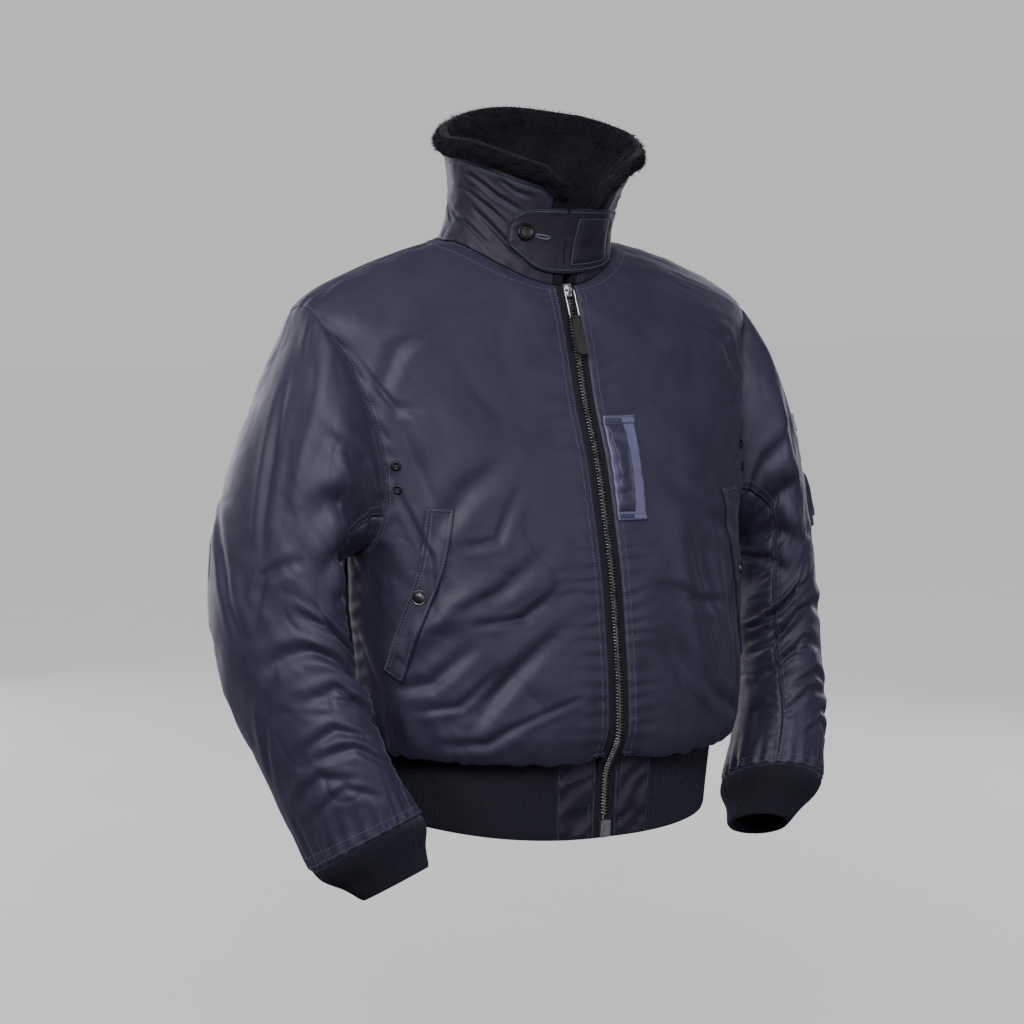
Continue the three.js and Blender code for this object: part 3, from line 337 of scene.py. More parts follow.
# Smooth random heights: values on a square lattice, eased between its corners.
def rumple(across, along, wave, seed, period=64):
    heights = np.random.default_rng(seed).uniform(-1, 1, (64, 64))
    gx, gy = across / wave, along / wave
    ix, iy = np.floor(gx).astype(int), np.floor(gy).astype(int)
    fx, fy = gx - ix, gy - iy
    ex, ey = (f * f * f * (f * (6 * f - 15) + 10) for f in (fx, fy))
    corner = lambda i, j: heights[(ix + i) % period, (iy + j) % 64]
    return ((corner(0, 0) * (1 - ex) + corner(1, 0) * ex) * (1 - ey)
            + (corner(0, 1) * (1 - ex) + corner(1, 1) * ex) * ey)


# Short random creases: dips along the lines where smooth heights pass through nought, and only
# where a second field is high, so that they differ in length, depth and spacing.
def crumple(across, along, wave, seed, period=64):
    line = rumple(across, along, wave, seed, period)
    strength = smoothStep(-0.25, 0.55, rumple(across, along, wave, seed + 1, period))
    return -bell(line / 0.17) * strength


# Sums of products, and vectors brought to length 1, along the last axis.
def dot(a, b):
    return (a * b).sum(-1)


def unit(vectors):
    return vectors / np.maximum(np.linalg.norm(vectors, axis=-1, keepdims=True), 1e-9)


# Large folds of the solids: each is a straight line on the flattened cloth, deepest halfway
# along, with a bell curve across it.
def foldRelief(across, along, form):
    relief = np.zeros_like(across)
    scale = np.array([degree * form["radius"], form["length"]])
    for fromAngle, fromShare, toAngle, toShare, width, depth in form["folds"]:
        start = np.array([fromAngle, fromShare]) * scale
        line = np.array([toAngle, toShare]) * scale - start
        dx, dy = across - start[0], along - start[1]
        t = np.clip((dx * line[0] + dy * line[1]) / dot(line, line), 0, 1)
        away = np.hypot(dx - t * line[0], dy - t * line[1])
        relief += depth * bell(away / width) * (0.35 + 0.65 * np.sin(np.pi * t))
    return relief


# Creases: each is a bent line on the flattened cloth. Across it the cloth dips by the depth and
# rises a little on both sides; along it the dip fades out towards both ends.
def creaseRelief(across, along, creases, radius, length):
    relief = np.zeros_like(across)
    whole = 2 * np.pi * radius
    t = np.linspace(0, 1, 9)
    for width, depth, *line in creases:
        line = np.array(line, float)
        stops = np.linspace(0, 1, len(line))
        path = np.stack([np.interp(t, stops, line[:, 0]) * degree * radius,
                         np.interp(t, stops, line[:, 1]) * length], -1)
        best = np.full(across.shape, 1e9)
        side, share = np.zeros_like(across), np.zeros_like(across)
        for k in range(len(path) - 1):
            dx = (across - path[k, 0] + whole / 2) % whole - whole / 2
            dy = along - path[k, 1]
            step = path[k + 1] - path[k]
            s = np.clip((dx * step[0] + dy * step[1]) / dot(step, step), 0, 1)
            ex, ey = dx - s * step[0], dy - s * step[1]
            away = np.hypot(ex, ey)
            near = away < best
            best = np.where(near, away, best)
            side = np.where(near, np.sign(step[0] * dy - step[1] * dx) * away, side)
            share = np.where(near, (k + s) / (len(path) - 1), share)
        s = side / width
        shape = -bell(s) + 0.5 * bell((s - 1.7) / 1.1) + 0.3 * bell((s + 1.8) / 1.2)
        ends = bell(np.maximum(best - abs(side), 0) / width)
        relief += depth * shape * ends * (0.15 + 0.85 * np.sin(np.pi * share) ** 0.7)
    return relief


# A mesh from faces; it is turned right side out by the sign of its volume.
def makeMesh(name, points, faces, material, cloth=None, flip=True):
    data = bpy.data.meshes.new(name)
    data.from_pydata((np.asarray(points) * 0.001).tolist(), [], faces)
    data.polygons.foreach_set("use_smooth", np.ones(len(data.polygons), bool))
    data.materials.append(material)
    if cloth is not None:
        corners = np.zeros(len(data.loops), np.int32)
        data.loops.foreach_get("vertex_index", corners)
        layer = data.uv_layers.new(name="cloth")
        layer.data.foreach_set("uv", (np.asarray(cloth)[corners] * 0.001).ravel())
    data.calc_loop_triangles()
    tris = np.zeros(len(data.loop_triangles) * 3, np.int32)
    data.loop_triangles.foreach_get("vertices", tris)
    a, b, c = np.moveaxis(np.asarray(points)[tris.reshape(-1, 3)], 1, 0)
    if flip and dot(a, np.cross(b, c)).sum() < 0:
        data.flip_normals()
    made = bpy.data.objects.new(name, data)
    bpy.context.collection.objects.link(made)
    return made


# Four-sided faces of a grid of points numbered row by row.
def gridFaces(rows, columns, start=0, wraps=False):
    i, j = np.meshgrid(np.arange(rows - 1), np.arange(columns - (0 if wraps else 1)), indexing="ij")
    k = (j + 1) % columns
    return (np.stack([i * columns + j, i * columns + k, (i + 1) * columns + k,
                      (i + 1) * columns + j], -1).reshape(-1, 4) + start)


# A closed cloth: a fine outer grid, an inner grid with fewer points, and rims between them.
# Every ratio-th outer point has an inner one, a wall's thickness under it.
def clothShell(name, surface, material, wall, ratio=3, wraps=False):
    outer, normals = surface
    inner = (outer - normals * np.asarray(wall)[..., None])[::ratio, ::ratio]
    rows, columns = outer.shape[:2]
    start = rows * columns
    faces = gridFaces(rows, columns, 0, wraps).tolist()
    faces += gridFaces(*inner.shape[:2], start, wraps)[:, ::-1].tolist()
    outerIndex = np.arange(start).reshape(rows, columns)
    innerIndex = start + np.arange(inner.size // 3).reshape(inner.shape[:2])
    edges = [(outerIndex[0], innerIndex[0], True), (outerIndex[-1], innerIndex[-1], False)]
    if not wraps:
        edges += [(outerIndex[:, 0], innerIndex[:, 0], False),
                  (outerIndex[:, -1], innerIndex[:, -1], True)]
    for out, inn, ahead in edges:
        if wraps:
            out, inn = np.r_[out, out[0]], np.r_[inn, inn[0]]
        for k in range(len(inn) - 1):
            face = [int(inn[k]), int(inn[k + 1])] + out[k * ratio:(k + 1) * ratio + 1][::-1].tolist()
            faces.append(face if ahead else face[::-1])
    down, across = np.meshgrid(np.arange(rows), np.arange(columns), indexing="ij")
    tall, wide = (np.linalg.norm(np.diff(outer, axis=k), axis=-1).mean() for k in (0, 1))
    cloth = np.stack([across * wide, down * tall], -1)
    cloth = np.r_[cloth.reshape(-1, 2), cloth[::ratio, ::ratio].reshape(-1, 2)]
    return makeMesh(name, np.r_[outer.reshape(-1, 3), inner.reshape(-1, 3)], faces, material, cloth)


# The outward normal of a surface of two parameters, from small steps along each.
def normalOf(form, across, along):
    step = 0.006
    sideways = form(across + step, along) - form(across - step, along)
    upward = form(across, np.minimum(along + step, 1)) - form(across, np.maximum(along - step, 0))
    return unit(np.cross(sideways, upward))


# The true normals of a grid of points, from its neighbours.
def gridNormals(points, wraps=False):
    if wraps:
        across = np.roll(points, -1, 1) - np.roll(points, 1, 1)
    else:
        across = np.gradient(points, axis=1)
    return unit(np.cross(across, np.gradient(points, axis=0)))


# A count of grid points that the inner grid divides evenly.
def fit(count, ratio=3):
    return int(np.ceil(count / ratio)) * ratio + 1


# Two parameters from 0 to 1, down and across a grid.
def gridShares(rows, columns, ratio=3):
    return (np.linspace(0, 1, fit(rows, ratio))[:, None],
            np.linspace(0, 1, fit(columns, ratio))[None, :])


# Torso form: for each height a rounded-square ring, its height running from side to front or
# back with the squared cosine. The numbers are the solids' own.
torso = {
    "columns": ["up", "sideZ", "frontZ", "backZ", "halfWidth", "frontY", "backY", "square"],
    "rows": [
        [0.00, -533, -540, -530, 208, -158, 86, 0.86], [0.04, -546, -553, -543, 226, -170, 98, 0.84],
        [0.10, -522, -528, -520, 235, -180, 106, 0.82], [0.20, -468, -478, -470, 240, -181, 113, 0.82],
        [0.32, -400, -412, -405, 241, -175, 118, 0.82], [0.46, -326, -345, -340, 244, -166, 120, 0.80],
        [0.56, -262, -290, -272, 256, -154, 120, 0.78], [0.66, -186, -230, -205, 268, -139, 118, 0.78],
        [0.76, -112, -170, -140, 277, -117, 112, 0.80], [0.83, -67, -122, -88, 278, -104, 104, 0.84],
        [0.91, -26, -80, -34, 195, -91, 92, 0.92], [1.00, 0, -48, 14, 101, -79, 76, 1.00]],
    "hemSlope": -0.05, "armhole": (0.46, 0.83), "armholeFront": 30 * degree,
    "armholeBack": 27 * degree, "zipHalfWidth": 12, "radius": 205, "length": 600, "wall": 2.6,
    "seamGap": 0.0008, "zipGap": 0.0005,
    "folds": [  # from angle, from up, to angle, to up, width, depth: the solids' large folds
        [34, 0.50, 44, 0.10, 13, -7], [17, 0.54, 26, 0.18, 12, -5], [-14, 0.30, -48, 0.14, 15, 6],
        [-34, 0.42, -64, 0.28, 14, -7], [-52, 0.72, -44, 0.56, 12, 5], [-8, 0.42, -26, 0.34, 9, 5],
        [150, 0.70, 118, 0.42, 16, 6], [-146, 0.66, -116, 0.40, 16, 6],
        [172, 0.46, 140, 0.16, 18, -6], [-170, 0.40, -134, 0.14, 18, -6]],
    "creases": [  # width, depth, then points along it as angle and up
        [5, 2.6, (30, 0.34), (36, 0.22), (44, 0.12)],
        [6, 2.8, (52, 0.40), (46, 0.26), (50, 0.13)],
        [5, 2.0, (22, 0.50), (29, 0.36), (33, 0.24)],
        [6, 2.2, (10, 0.30), (20, 0.18), (34, 0.10)],
        [5, 2.0, (60, 0.66), (50, 0.60), (40, 0.58)],
        [4, 1.8, (58, 0.74), (48, 0.69), (40, 0.70)],
        [5, 2.4, (-10, 0.44), (-22, 0.36), (-38, 0.34)],
        [6, 2.6, (-58, 0.60), (-50, 0.48), (-52, 0.36)],
        [5, 2.2, (-30, 0.26), (-44, 0.18), (-60, 0.16)],
        [5, 2.2, (-16, 0.62), (-26, 0.52), (-38, 0.50)],
        [4, 1.8, (-8, 0.20), (-20, 0.16), (-32, 0.12)],
        [5, 2.0, (-60, 0.76), (-50, 0.71), (-40, 0.72)],
        [6, 2.6, (120, 0.58), (136, 0.50), (150, 0.44)],
        [6, 2.4, (-122, 0.60), (-138, 0.52), (-152, 0.50)],
        [6, 2.8, (112, 0.38), (128, 0.26), (150, 0.20)],
        [6, 2.6, (-110, 0.36), (-126, 0.28), (-146, 0.16)],
        [5, 2.0, (160, 0.34), (176, 0.30), (196, 0.33)],
        [5, 1.8, (165, 0.72), (180, 0.69), (196, 0.72)],
        [5, 2.0, (140, 0.12), (156, 0.18), (172, 0.14)],
        [5, 2.0, (-100, 0.20), (-112, 0.14), (-128, 0.10)],
        [5, 2.0, (98, 0.22), (110, 0.14), (126, 0.11)],
        [10, 4.2, (-18, 0.66), (-32, 0.60), (-50, 0.50)],
        [9, 3.8, (-13, 0.50), (-28, 0.42), (-46, 0.36)],
        [8, 3.4, (-11, 0.34), (-26, 0.25), (-42, 0.12)],
        [8, 3.6, (-38, 0.30), (-54, 0.22), (-68, 0.20)],
        [7, 3.2, (-24, 0.15), (-36, 0.10), (-52, 0.09)],
        [7, 3.0, (-30, 0.88), (-44, 0.81), (-56, 0.72)],
        [9, 4.0, (14, 0.61), (28, 0.53), (46, 0.49)],
        [8, 3.6, (11, 0.42), (24, 0.36), (38, 0.34)],
        [8, 3.6, (17, 0.27), (32, 0.17), (52, 0.11)],
        [7, 3.0, (32, 0.87), (46, 0.80), (57, 0.71)],
        [9, 3.6, (126, 0.66), (142, 0.58), (164, 0.55)],
        [9, 3.4, (-128, 0.68), (-142, 0.62), (-162, 0.56)],
        [8, 3.2, (132, 0.34), (156, 0.24), (178, 0.22)],
        [8, 3.2, (-128, 0.42), (-150, 0.34), (-172, 0.24)],
    ],
    "creaseDepth": 1.05, "crumples": [(52, 0.9, 21), (25, 0.4, 23)],  # wave, depth, seed
    "zipTuck": {"depth": 6.0, "width": 15},
    "frontCut": {"flat": (0.34, 0.62), "area": 0.165, "held": "stretched",
                 "rests_on": ["collar_shell"]},
    "backCut": {"flat": (0.64, 0.66), "area": 0.346, "held": "stretched",
                "rests_on": ["collar_shell"]},
}
torsoAt = smoothTable(torso["columns"], torso["rows"])


# A ring's half width and depth times the sine and cosine of the angle, each to the ring's power.
def torsoForm(phi, up):
    ring = torsoAt(up)
    side, fore = np.sin(phi), np.cos(phi)
    power = lambda value: np.sign(value) * np.abs(value) ** ring["square"]
    middle, half = (ring["frontY"] + ring["backY"]) / 2, (ring["backY"] - ring["frontY"]) / 2
    endZ = np.where(fore > 0, ring["frontZ"], ring["backZ"])
    slope = torso["hemSlope"] * ring["halfWidth"] * side * smoothStep(0, 0.46, 0.46 - up)
    return np.stack(np.broadcast_arrays(
        ring["halfWidth"] * power(side), middle - half * power(fore),
        ring["sideZ"] + (endZ - ring["sideZ"]) * fore**2 + slope), -1)


# The angle at which a ring of the torso is x away from the middle line.
def angleAt(x, up):
    ring = torsoAt(up)
    return np.arcsin((x / ring["halfWidth"]) ** (1 / ring["square"]))


def zipAngle(up):
    return angleAt(torso["zipHalfWidth"], up)


# The angles at which a front and the back end: 90 degrees at the side seam, and away from it by
# half an ellipse along the armhole.
def armholeAngles(up):
    low, high = torso["armhole"]
    c = np.clip((up - low) / (high - low), 0, 1) * 2 - 1
    opening = np.sqrt(np.maximum(1 - c * c, 0))
    return np.pi / 2 - torso["armholeFront"] * opening, np.pi / 2 + torso["armholeBack"] * opening


# The height of a point of the armhole's loop, by its angle from the bottom to the top.
def armholeUp(loop):
    low, high = torso["armhole"]
    return low + (high - low) * (1 - np.cos(loop)) / 2


# How far the torso's cloth stands off its smooth form: the large folds, the creases, broad
# rumples, gathers above the hem, puckers along the zip, and a valley at each seam.
def torsoRelief(phi, up):
    phi, up = np.broadcast_arrays(signedTurn(phi), up)
    radius, length = torso["radius"], torso["length"]
    across, along, fromFront = phi * radius, up * length, abs(phi)
    front = phi % (2 * np.pi) * radius
    relief = -foldRelief(across, along, torso) * (
        insideEnds(up, 0.08, 0.06) * smoothStep(3 * degree, 12 * degree, fromFront))
    relief += torso["creaseDepth"] * creaseRelief(across, along, torso["creases"], radius, length) * (
        insideEnds(up, 0.05) * smoothStep(3 * degree, 9 * degree, fromFront))
    fade = insideEnds(up, 0.03) * smoothStep(2.6 * degree, 7 * degree, fromFront)
    leaning = front + along * 0.5
    relief += fade * (2.2 * rumple(leaning, along * 0.6, 66, 11)
                      + 0.9 * rumple(leaning, along * 0.8, 31, 12)
                      + 0.28 * rumple(front, along, 13, 13))
    for wave, depth, seed in torso["crumples"]:
        relief += fade * depth * crumple(leaning, along * 0.7, wave, seed)
    gathers = np.sin(front / 5.4 + 2.4 * rumple(front, along * 0.3, 55, 14)) * (
        0.75 + 0.5 * rumple(front, along * 0.2, 40, 15))
    relief += 2.6 * gathers * smoothStep(0, 0.02, up) * np.exp(-along / 46)
    fromZip = (fromFront - zipAngle(up)) * radius
    puckers = np.sin(along / 3.0 + 2.2 * rumple(front, along, 35, 16))
    relief += (0.75 * puckers * np.exp(-np.maximum(fromZip - 8, 0) / 13) * smoothStep(0, 4, fromZip)
               * smoothStep(0.02, 0.06, up) * smoothStep(0, 0.05, 1 - up))
    tuck = torso["zipTuck"]  # the front edges draw in to the zip just above the hem
    relief -= (tuck["depth"] * bell(fromZip / tuck["width"])
               * smoothStep(0, 0.03, up) * (1 - smoothStep(0.06, 0.13, up)))
    frontEdge, backEdge = armholeAngles(up)
    fromSide = np.where(fromFront < np.pi / 2, frontEdge - fromFront, fromFront - backEdge) * radius
    fromSide = np.maximum(fromSide, 0)
    relief -= 1.3 * bell(fromSide / 3.2) + 0.9 * bell(fromZip / 2.5)
    relief += 0.8 * bell((fromSide - 11) / 9) * np.sin(
        along / 3.6 + 2 * rumple(front, along, 40, 17)) * insideEnds(up, 0.04)
    flat = 1 - insideEnds(up, 0.012)
    return relief * (1 - flat) + flat * np.minimum(relief, 0) * 0.4 - 0.9 * flat


# A point of the torso's cloth: its form, then out by its relief and the lift.
def torsoPlace(phi, up, lift=0):
    normal = normalOf(torsoForm, phi, up)
    return torsoForm(phi, up) + normal * (torsoRelief(phi, up) + lift)[..., None], normal


armLow, armHigh = torso["armhole"]
torsoUps = np.r_[np.linspace(0, armLow, 106)[:-1], armholeUp(np.linspace(0, np.pi, 97)),
                 np.linspace(armHigh, 1, 52)[1:]][:, None]


# Puts a piece on its body and hides the solids it stands for.
def finishPiece(made, nodes=()):
    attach(made, "jacket")
    if nodes:
        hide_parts(*nodes)


# Each front runs from the zip to the side seam and the armhole, and the back between the seams.
def frontPanel(side):
    name = sideName[side]
    start, end = zipAngle(torsoUps) + torso["zipGap"], armholeAngles(torsoUps)[0] - torso["seamGap"]
    phi = side * (start + (end - start) * np.linspace(0, 1, fit(120)))
    made = clothShell(f"frontPanel_{name}", torsoPlace(phi, torsoUps), nylon, torso["wall"])
    finishPiece(made, [f"front_{name}"])


def backPanel():
    start = armholeAngles(torsoUps)[1] + torso["seamGap"]
    phi = start + (2 * np.pi - 2 * start) * np.linspace(0, 1, fit(204))
    made = clothShell("backPanel", torsoPlace(phi, torsoUps), nylon, torso["wall"])
    finishPiece(made, ["back"])


frontPanel(-1)
frontPanel(1)
backPanel()
print("torso panels made")

# Sleeve form: rings between an outer and an inner point, blended out of the armhole's loop.
sleeve = {
    "columns": ["along", "outX", "outZ", "inX", "inZ", "midY", "deep", "skew", "lift"],
    "rows": [
        [0.00, 278, -67, 256, -326, -8, 93, 0, 0], [0.06, 291, -86, 262, -336, -8, 94, 2, 0],
        [0.15, 304, -128, 270, -350, -8, 96, 6, 0], [0.28, 338, -206, 275, -378, -10, 94, 16, 0],
        [0.42, 366, -292, 274, -412, -18, 90, 24, 2], [0.56, 377, -374, 270, -446, -30, 86, 28, 6],
        [0.70, 370, -460, 262, -490, -52, 80, 24, 12], [0.85, 350, -552, 244, -546, -84, 70, 12, 20],
        [1.00, 325, -638, 213, -600, -108, 60, 0, 28]],
    "radius": 80, "length": 560, "frontSeam": 7, "backSeam": 13, "steps": 20, "wall": 2.4,
    "seamGap": 0.0012,
    "folds": [
        [38, 0.06, 46, 0.34, 14, -5], [150, 0.14, 96, 0.25, 17, 7], [154, 0.62, 78, 0.55, 18, 7],
        [152, 0.76, 92, 0.70, 16, 6], [214, 0.54, 280, 0.62, 18, 6]],
    "creases": [  # width, depth, then points as turn and share along; shared by both sleeves
        [7, 3.4, (150, 0.10), (110, 0.16), (70, 0.26)],
        [6, 3.0, (140, 0.05), (100, 0.09), (60, 0.18)],
        [6, 2.8, (165, 0.20), (130, 0.28), (100, 0.40)],
        [7, 3.6, (150, 0.66), (110, 0.60), (60, 0.58)],
        [6, 3.2, (150, 0.56), (110, 0.50), (70, 0.47)],
        [6, 3.0, (140, 0.74), (100, 0.68), (60, 0.70)],
        [6, 2.6, (120, 0.86), (80, 0.80), (30, 0.82)],
        [5, 2.2, (60, 0.40), (30, 0.48), (20, 0.58)],
        [5, 2.4, (30, 0.66), (10, 0.74), (-14, 0.84)],
        [6, 3.0, (210, 0.50), (250, 0.55), (300, 0.54)],
        [6, 3.0, (200, 0.64), (240, 0.68), (290, 0.64)],
        [6, 2.8, (200, 0.12), (240, 0.20), (280, 0.30)],
        [5, 2.2, (220, 0.80), (260, 0.86), (310, 0.84)],
        [5, 2.2, (300, 0.30), (320, 0.42), (325, 0.52)],
        [5, 2.0, (90, 0.92), (60, 0.88), (20, 0.92)],
        [9, 4.8, (128, 0.10), (98, 0.17), (64, 0.31)],
        [8, 4.2, (136, 0.18), (104, 0.27), (78, 0.39)],
        [8, 4.4, (120, 0.60), (88, 0.57), (52, 0.60), (20, 0.66)],
        [7, 4.0, (126, 0.52), (92, 0.49), (58, 0.52)],
        [7, 3.6, (112, 0.69), (80, 0.66), (46, 0.71)],
        [6, 3.2, (100, 0.78), (66, 0.76), (28, 0.81)],
        [6, 3.0, (72, 0.87), (40, 0.85), (6, 0.89)],
        [7, 2.8, (-30, 0.40), (-10, 0.49), (6, 0.61)],
        [6, 2.6, (12, 0.16), (24, 0.30), (28, 0.44)],
        [7, 3.4, (-44, 0.62), (-74, 0.58), (-104, 0.62)],
        [6, 3.0, (-40, 0.72), (-66, 0.70), (-96, 0.74)],
    ],
    "creaseDepth": 1.15, "crumples": [(13, 1.0, 36), (22, 0.45, 38)],  # waves round, depth, seed
    "upperCut": {"flat": (0.37, 0.63), "area": 0.165, "held": "stretched", "rests_on": ["front_left"]},
    "underCut": {"flat": (0.18, 0.43), "area": 0.0505, "held": "stretched", "rests_on": ["front_left"]},
}
sleeveAt = smoothTable(sleeve["columns"], sleeve["rows"])
sleeveAlongs = np.r_[np.linspace(0.0005, 0.12, 40)[:-1], np.linspace(0.12, 0.9995, fit(238) - 39)]


# A point of the armhole's loop: turn is 0 at the shoulder and 90 degrees in front.
def armholeEdge(side, turn):
    turn = turn % (2 * np.pi)
    front = turn <= np.pi
    loop = np.where(front, np.pi - turn, turn - np.pi)
    swing = np.where(front, -torso["armholeFront"], torso["armholeBack"]) * np.sin(loop)
    return torsoPlace(side * (np.pi / 2 + swing), armholeUp(loop))[0]


# Out of the armhole's loop, the sleeve's rings run between their outer and inner points, deep to
# the front and back of them.
def sleeveForm(side, turn, along):
    ring = sleeveAt(along)
    turn, along = np.broadcast_arrays(turn, along)
    outer = np.stack([ring["outX"], ring["midY"], ring["outZ"]], -1)
    inner = np.stack([ring["inX"], ring["midY"], ring["inZ"]], -1)
    half = (outer - inner) / 2
    front = np.stack([np.zeros_like(ring["deep"]), -ring["deep"], ring["lift"]], -1)
    front = front - unit(half) * ring["skew"][..., None]
    point = (outer + inner) / 2 + half * np.cos(turn)[..., None] + front * np.sin(turn)[..., None]
    blend = smoothStep(0, 0.15, along)[..., None]
    return armholeEdge(side, turn) * (1 - blend) + point * np.array([side, 1, 1]) * blend


# How far the sleeve's cloth stands off its form, as on the torso, with gathers at the cuff and at
# the armhole. The two sleeves share their creases, turned and deepened a little differently.
def sleeveRelief(side, turn, along):
    turn, along = np.broadcast_arrays(turn % (2 * np.pi), along)
    radius, length = sleeve["radius"], sleeve["length"]
    across, down, whole = turn * radius, along * length, 2 * np.pi * radius
    seed, shift, deeper = (30, 7, 1.15) if side > 0 else (40, -5, 1.0)
    waves = lambda count, more, tall=1.0: rumple(across, down * tall, whole / count, seed + more, count)
    inside = insideEnds(along, 0.05, 0.04)
    relief = -foldRelief(across, down, sleeve) * insideEnds(along, 0.06, 0.05)
    moved = [[w, d * sleeve["creaseDepth"] * deeper] + [(a + shift, b) for a, b in line]
             for w, d, *line in sleeve["creases"]]
    relief += inside * creaseRelief(across, down, moved, radius, length)
    relief += inside * (1.8 * waves(8, 0, 0.8) + 0.9 * waves(18, 1) + 0.3 * waves(42, 2))
    for count, depth, more in sleeve["crumples"]:
        relief += inside * depth * crumple(across, down * 0.8, whole / count, seed + more, count)
    fromEnd = (1 - along) * length
    relief += (2.0 * np.sin(24 * turn + 2.2 * waves(10, 3, 0.3)) * np.exp(-fromEnd / 30)
               * smoothStep(0, 6, fromEnd))
    relief += (0.9 * np.sin(34 * turn + 2.0 * waves(10, 4, 0.3)) * np.exp(-down / 18)
               * smoothStep(0, 8, down))
    for seam in (sleeve["frontSeam"], sleeve["backSeam"]):
        fromSeam = (turn - 2 * np.pi * seam / sleeve["steps"]) * radius
        relief -= 1.3 * bell(fromSeam / 3) * smoothStep(0, 0.03, along)
        relief += 0.7 * bell((abs(fromSeam) - 10) / 8) * np.sin(down / 3.3 + 2 * waves(14, 5)) * inside
    return relief - 1.2 * bell(fromEnd / 3)


# A point of the sleeve's cloth: its form, then out by its relief and the lift.
def sleevePlace(side, turn, along, lift=0):
    form = lambda a, b: sleeveForm(side, a, b)
    normal = normalOf(form, turn, np.maximum(along, 0.01)) * side
    return form(turn, along) + normal * (sleeveRelief(side, turn, along) + lift)[..., None], normal


# A sleeve's panel lies between two of its seams, counted in the steps of its ring.
def sleevePanel(side, part, first, last, count):
    name, step, gap = sideName[side], 2 * np.pi / sleeve["steps"], sleeve["seamGap"]
    turns = np.linspace(first * step + gap, last * step - gap, fit(count))
    made = clothShell(f"sleeve{part}_{name}", sleevePlace(side, turns[None, :], sleeveAlongs[:, None]),
                      nylon, sleeve["wall"])
    finishPiece(made, [f"sleeve_{name}_{part.lower()}"])


for side in (-1, 1):
    sleevePanel(side, "Upper", sleeve["backSeam"] - sleeve["steps"], sleeve["frontSeam"], 144)
    sleevePanel(side, "Under", sleeve["frontSeam"], sleeve["backSeam"], 60)
print("sleeves made")

# Collar: shell heights round the neck, flare with height, how far its front edges open.
collar = {
    "heights": [[0, 100], [30, 98], [60, 89], [75, 91], [92, 99], [120, 109], [146, 111],
                [180, 111], [225, 100], [270, 88], [315, 94], [360, 100]],
    "flares": [[0, 0], [0.35, -4], [0.7, 1], [1, 9], [1.25, 15]],
    "wall": 2.2, "edge": 9, "spreadEnd": 60, "openRight": 8, "openLeft": 15, "corner": 12,
    "lean": 17, "radius": 92, "tall": 100,
    "creases": [  # width, depth, then points as angle and share of the height
        [3.2, 2.4, (-80, 0.86), (-52, 0.70), (-30, 0.66)],
        [3.0, 2.2, (-84, 0.66), (-60, 0.54), (-44, 0.46)],
        [3.4, 2.6, (-70, 0.44), (-48, 0.30), (-30, 0.17)],
        [2.8, 1.8, (-50, 0.90), (-36, 0.84), (-22, 0.85)],
        [3.0, 2.0, (-96, 0.34), (-74, 0.24), (-52, 0.12)],
        [3.0, 2.0, (44, 0.70), (62, 0.58), (84, 0.60)],
        [3.2, 2.2, (36, 0.44), (60, 0.34), (82, 0.22)],
        [2.8, 1.8, (50, 0.88), (72, 0.80), (96, 0.84)],
        [3.4, 2.2, (110, 0.62), (132, 0.50), (158, 0.54)],
        [3.2, 2.0, (170, 0.36), (192, 0.30), (214, 0.36)],
        [3.0, 2.0, (180, 0.76), (206, 0.68), (236, 0.72)],
        [3.0, 2.0, (236, 0.46), (254, 0.36), (268, 0.24)],
        [2.8, 1.8, (120, 0.22), (146, 0.16), (168, 0.20)],
    ],
    "cut": {"flat": (0.56, 0.11), "held": "stretched", "rests_on": ["back"]},
}
collarHeightAt = smoothTable(["angle", "height"], collar["heights"])
collarFlareAt = smoothTable(["rise", "flare"], collar["flares"])
neckMiddle = (torso["rows"][-1][5] + torso["rows"][-1][6]) / 2


def collarHeight(phi):
    return collarHeightAt(phi / degree % 360)["height"]


# Out along the neck ring's spokes by out plus the flare, leaning to the left with height.
def collarPlace(phi, height, out):
    phi, height, out = np.broadcast_arrays(phi, height, out)
    base = torsoForm(phi, np.ones_like(phi, float))
    spoke = unit(base * (1, 1, 0) - (0, neckMiddle, 0))
    rise = height / collarHeight(phi)
    up = np.stack([collar["lean"] * rise, 0 * rise, 0.3 + height], -1)
    return base + up + spoke * (out + collarFlareAt(rise)["flare"])[..., None]


# The front edges move apart with height, less and less towards the sides.
def collarTurn(phi, rise, openRight, openLeft, low, high):
    signed = signedTurn(phi)
    share = 1 - smoothStep(collar["edge"] * degree, collar["spreadEnd"] * degree, abs(signed))
    reach = np.where(signed > 0, openLeft, openRight) * degree
    return signed + np.sign(signed) * reach * share * smoothStep(low, high, rise)


# The height at a share of the collar's rise, its front corners cut lower.
def collarUp(phi, rise):
    fromEdge = np.minimum(phi % (2 * np.pi), -phi % (2 * np.pi)) - collar["edge"] * degree
    drop = collar["corner"] * (1 - smoothStep(-4 * degree, 10 * degree, fromEdge))
    return rise * (collarHeight(phi) - drop)


def shellTurn(phi, rise):
    return collarTurn(phi, rise, collar["openRight"], collar["openLeft"], 0.2, 0.8)


def outwardNormals(points, wraps=False):
    normals = gridNormals(points, wraps)
    middle = np.array([8, neckMiddle, 0])
    return normals * np.sign(dot(normals, (points - middle) * (1, 1, 0)))[..., None]


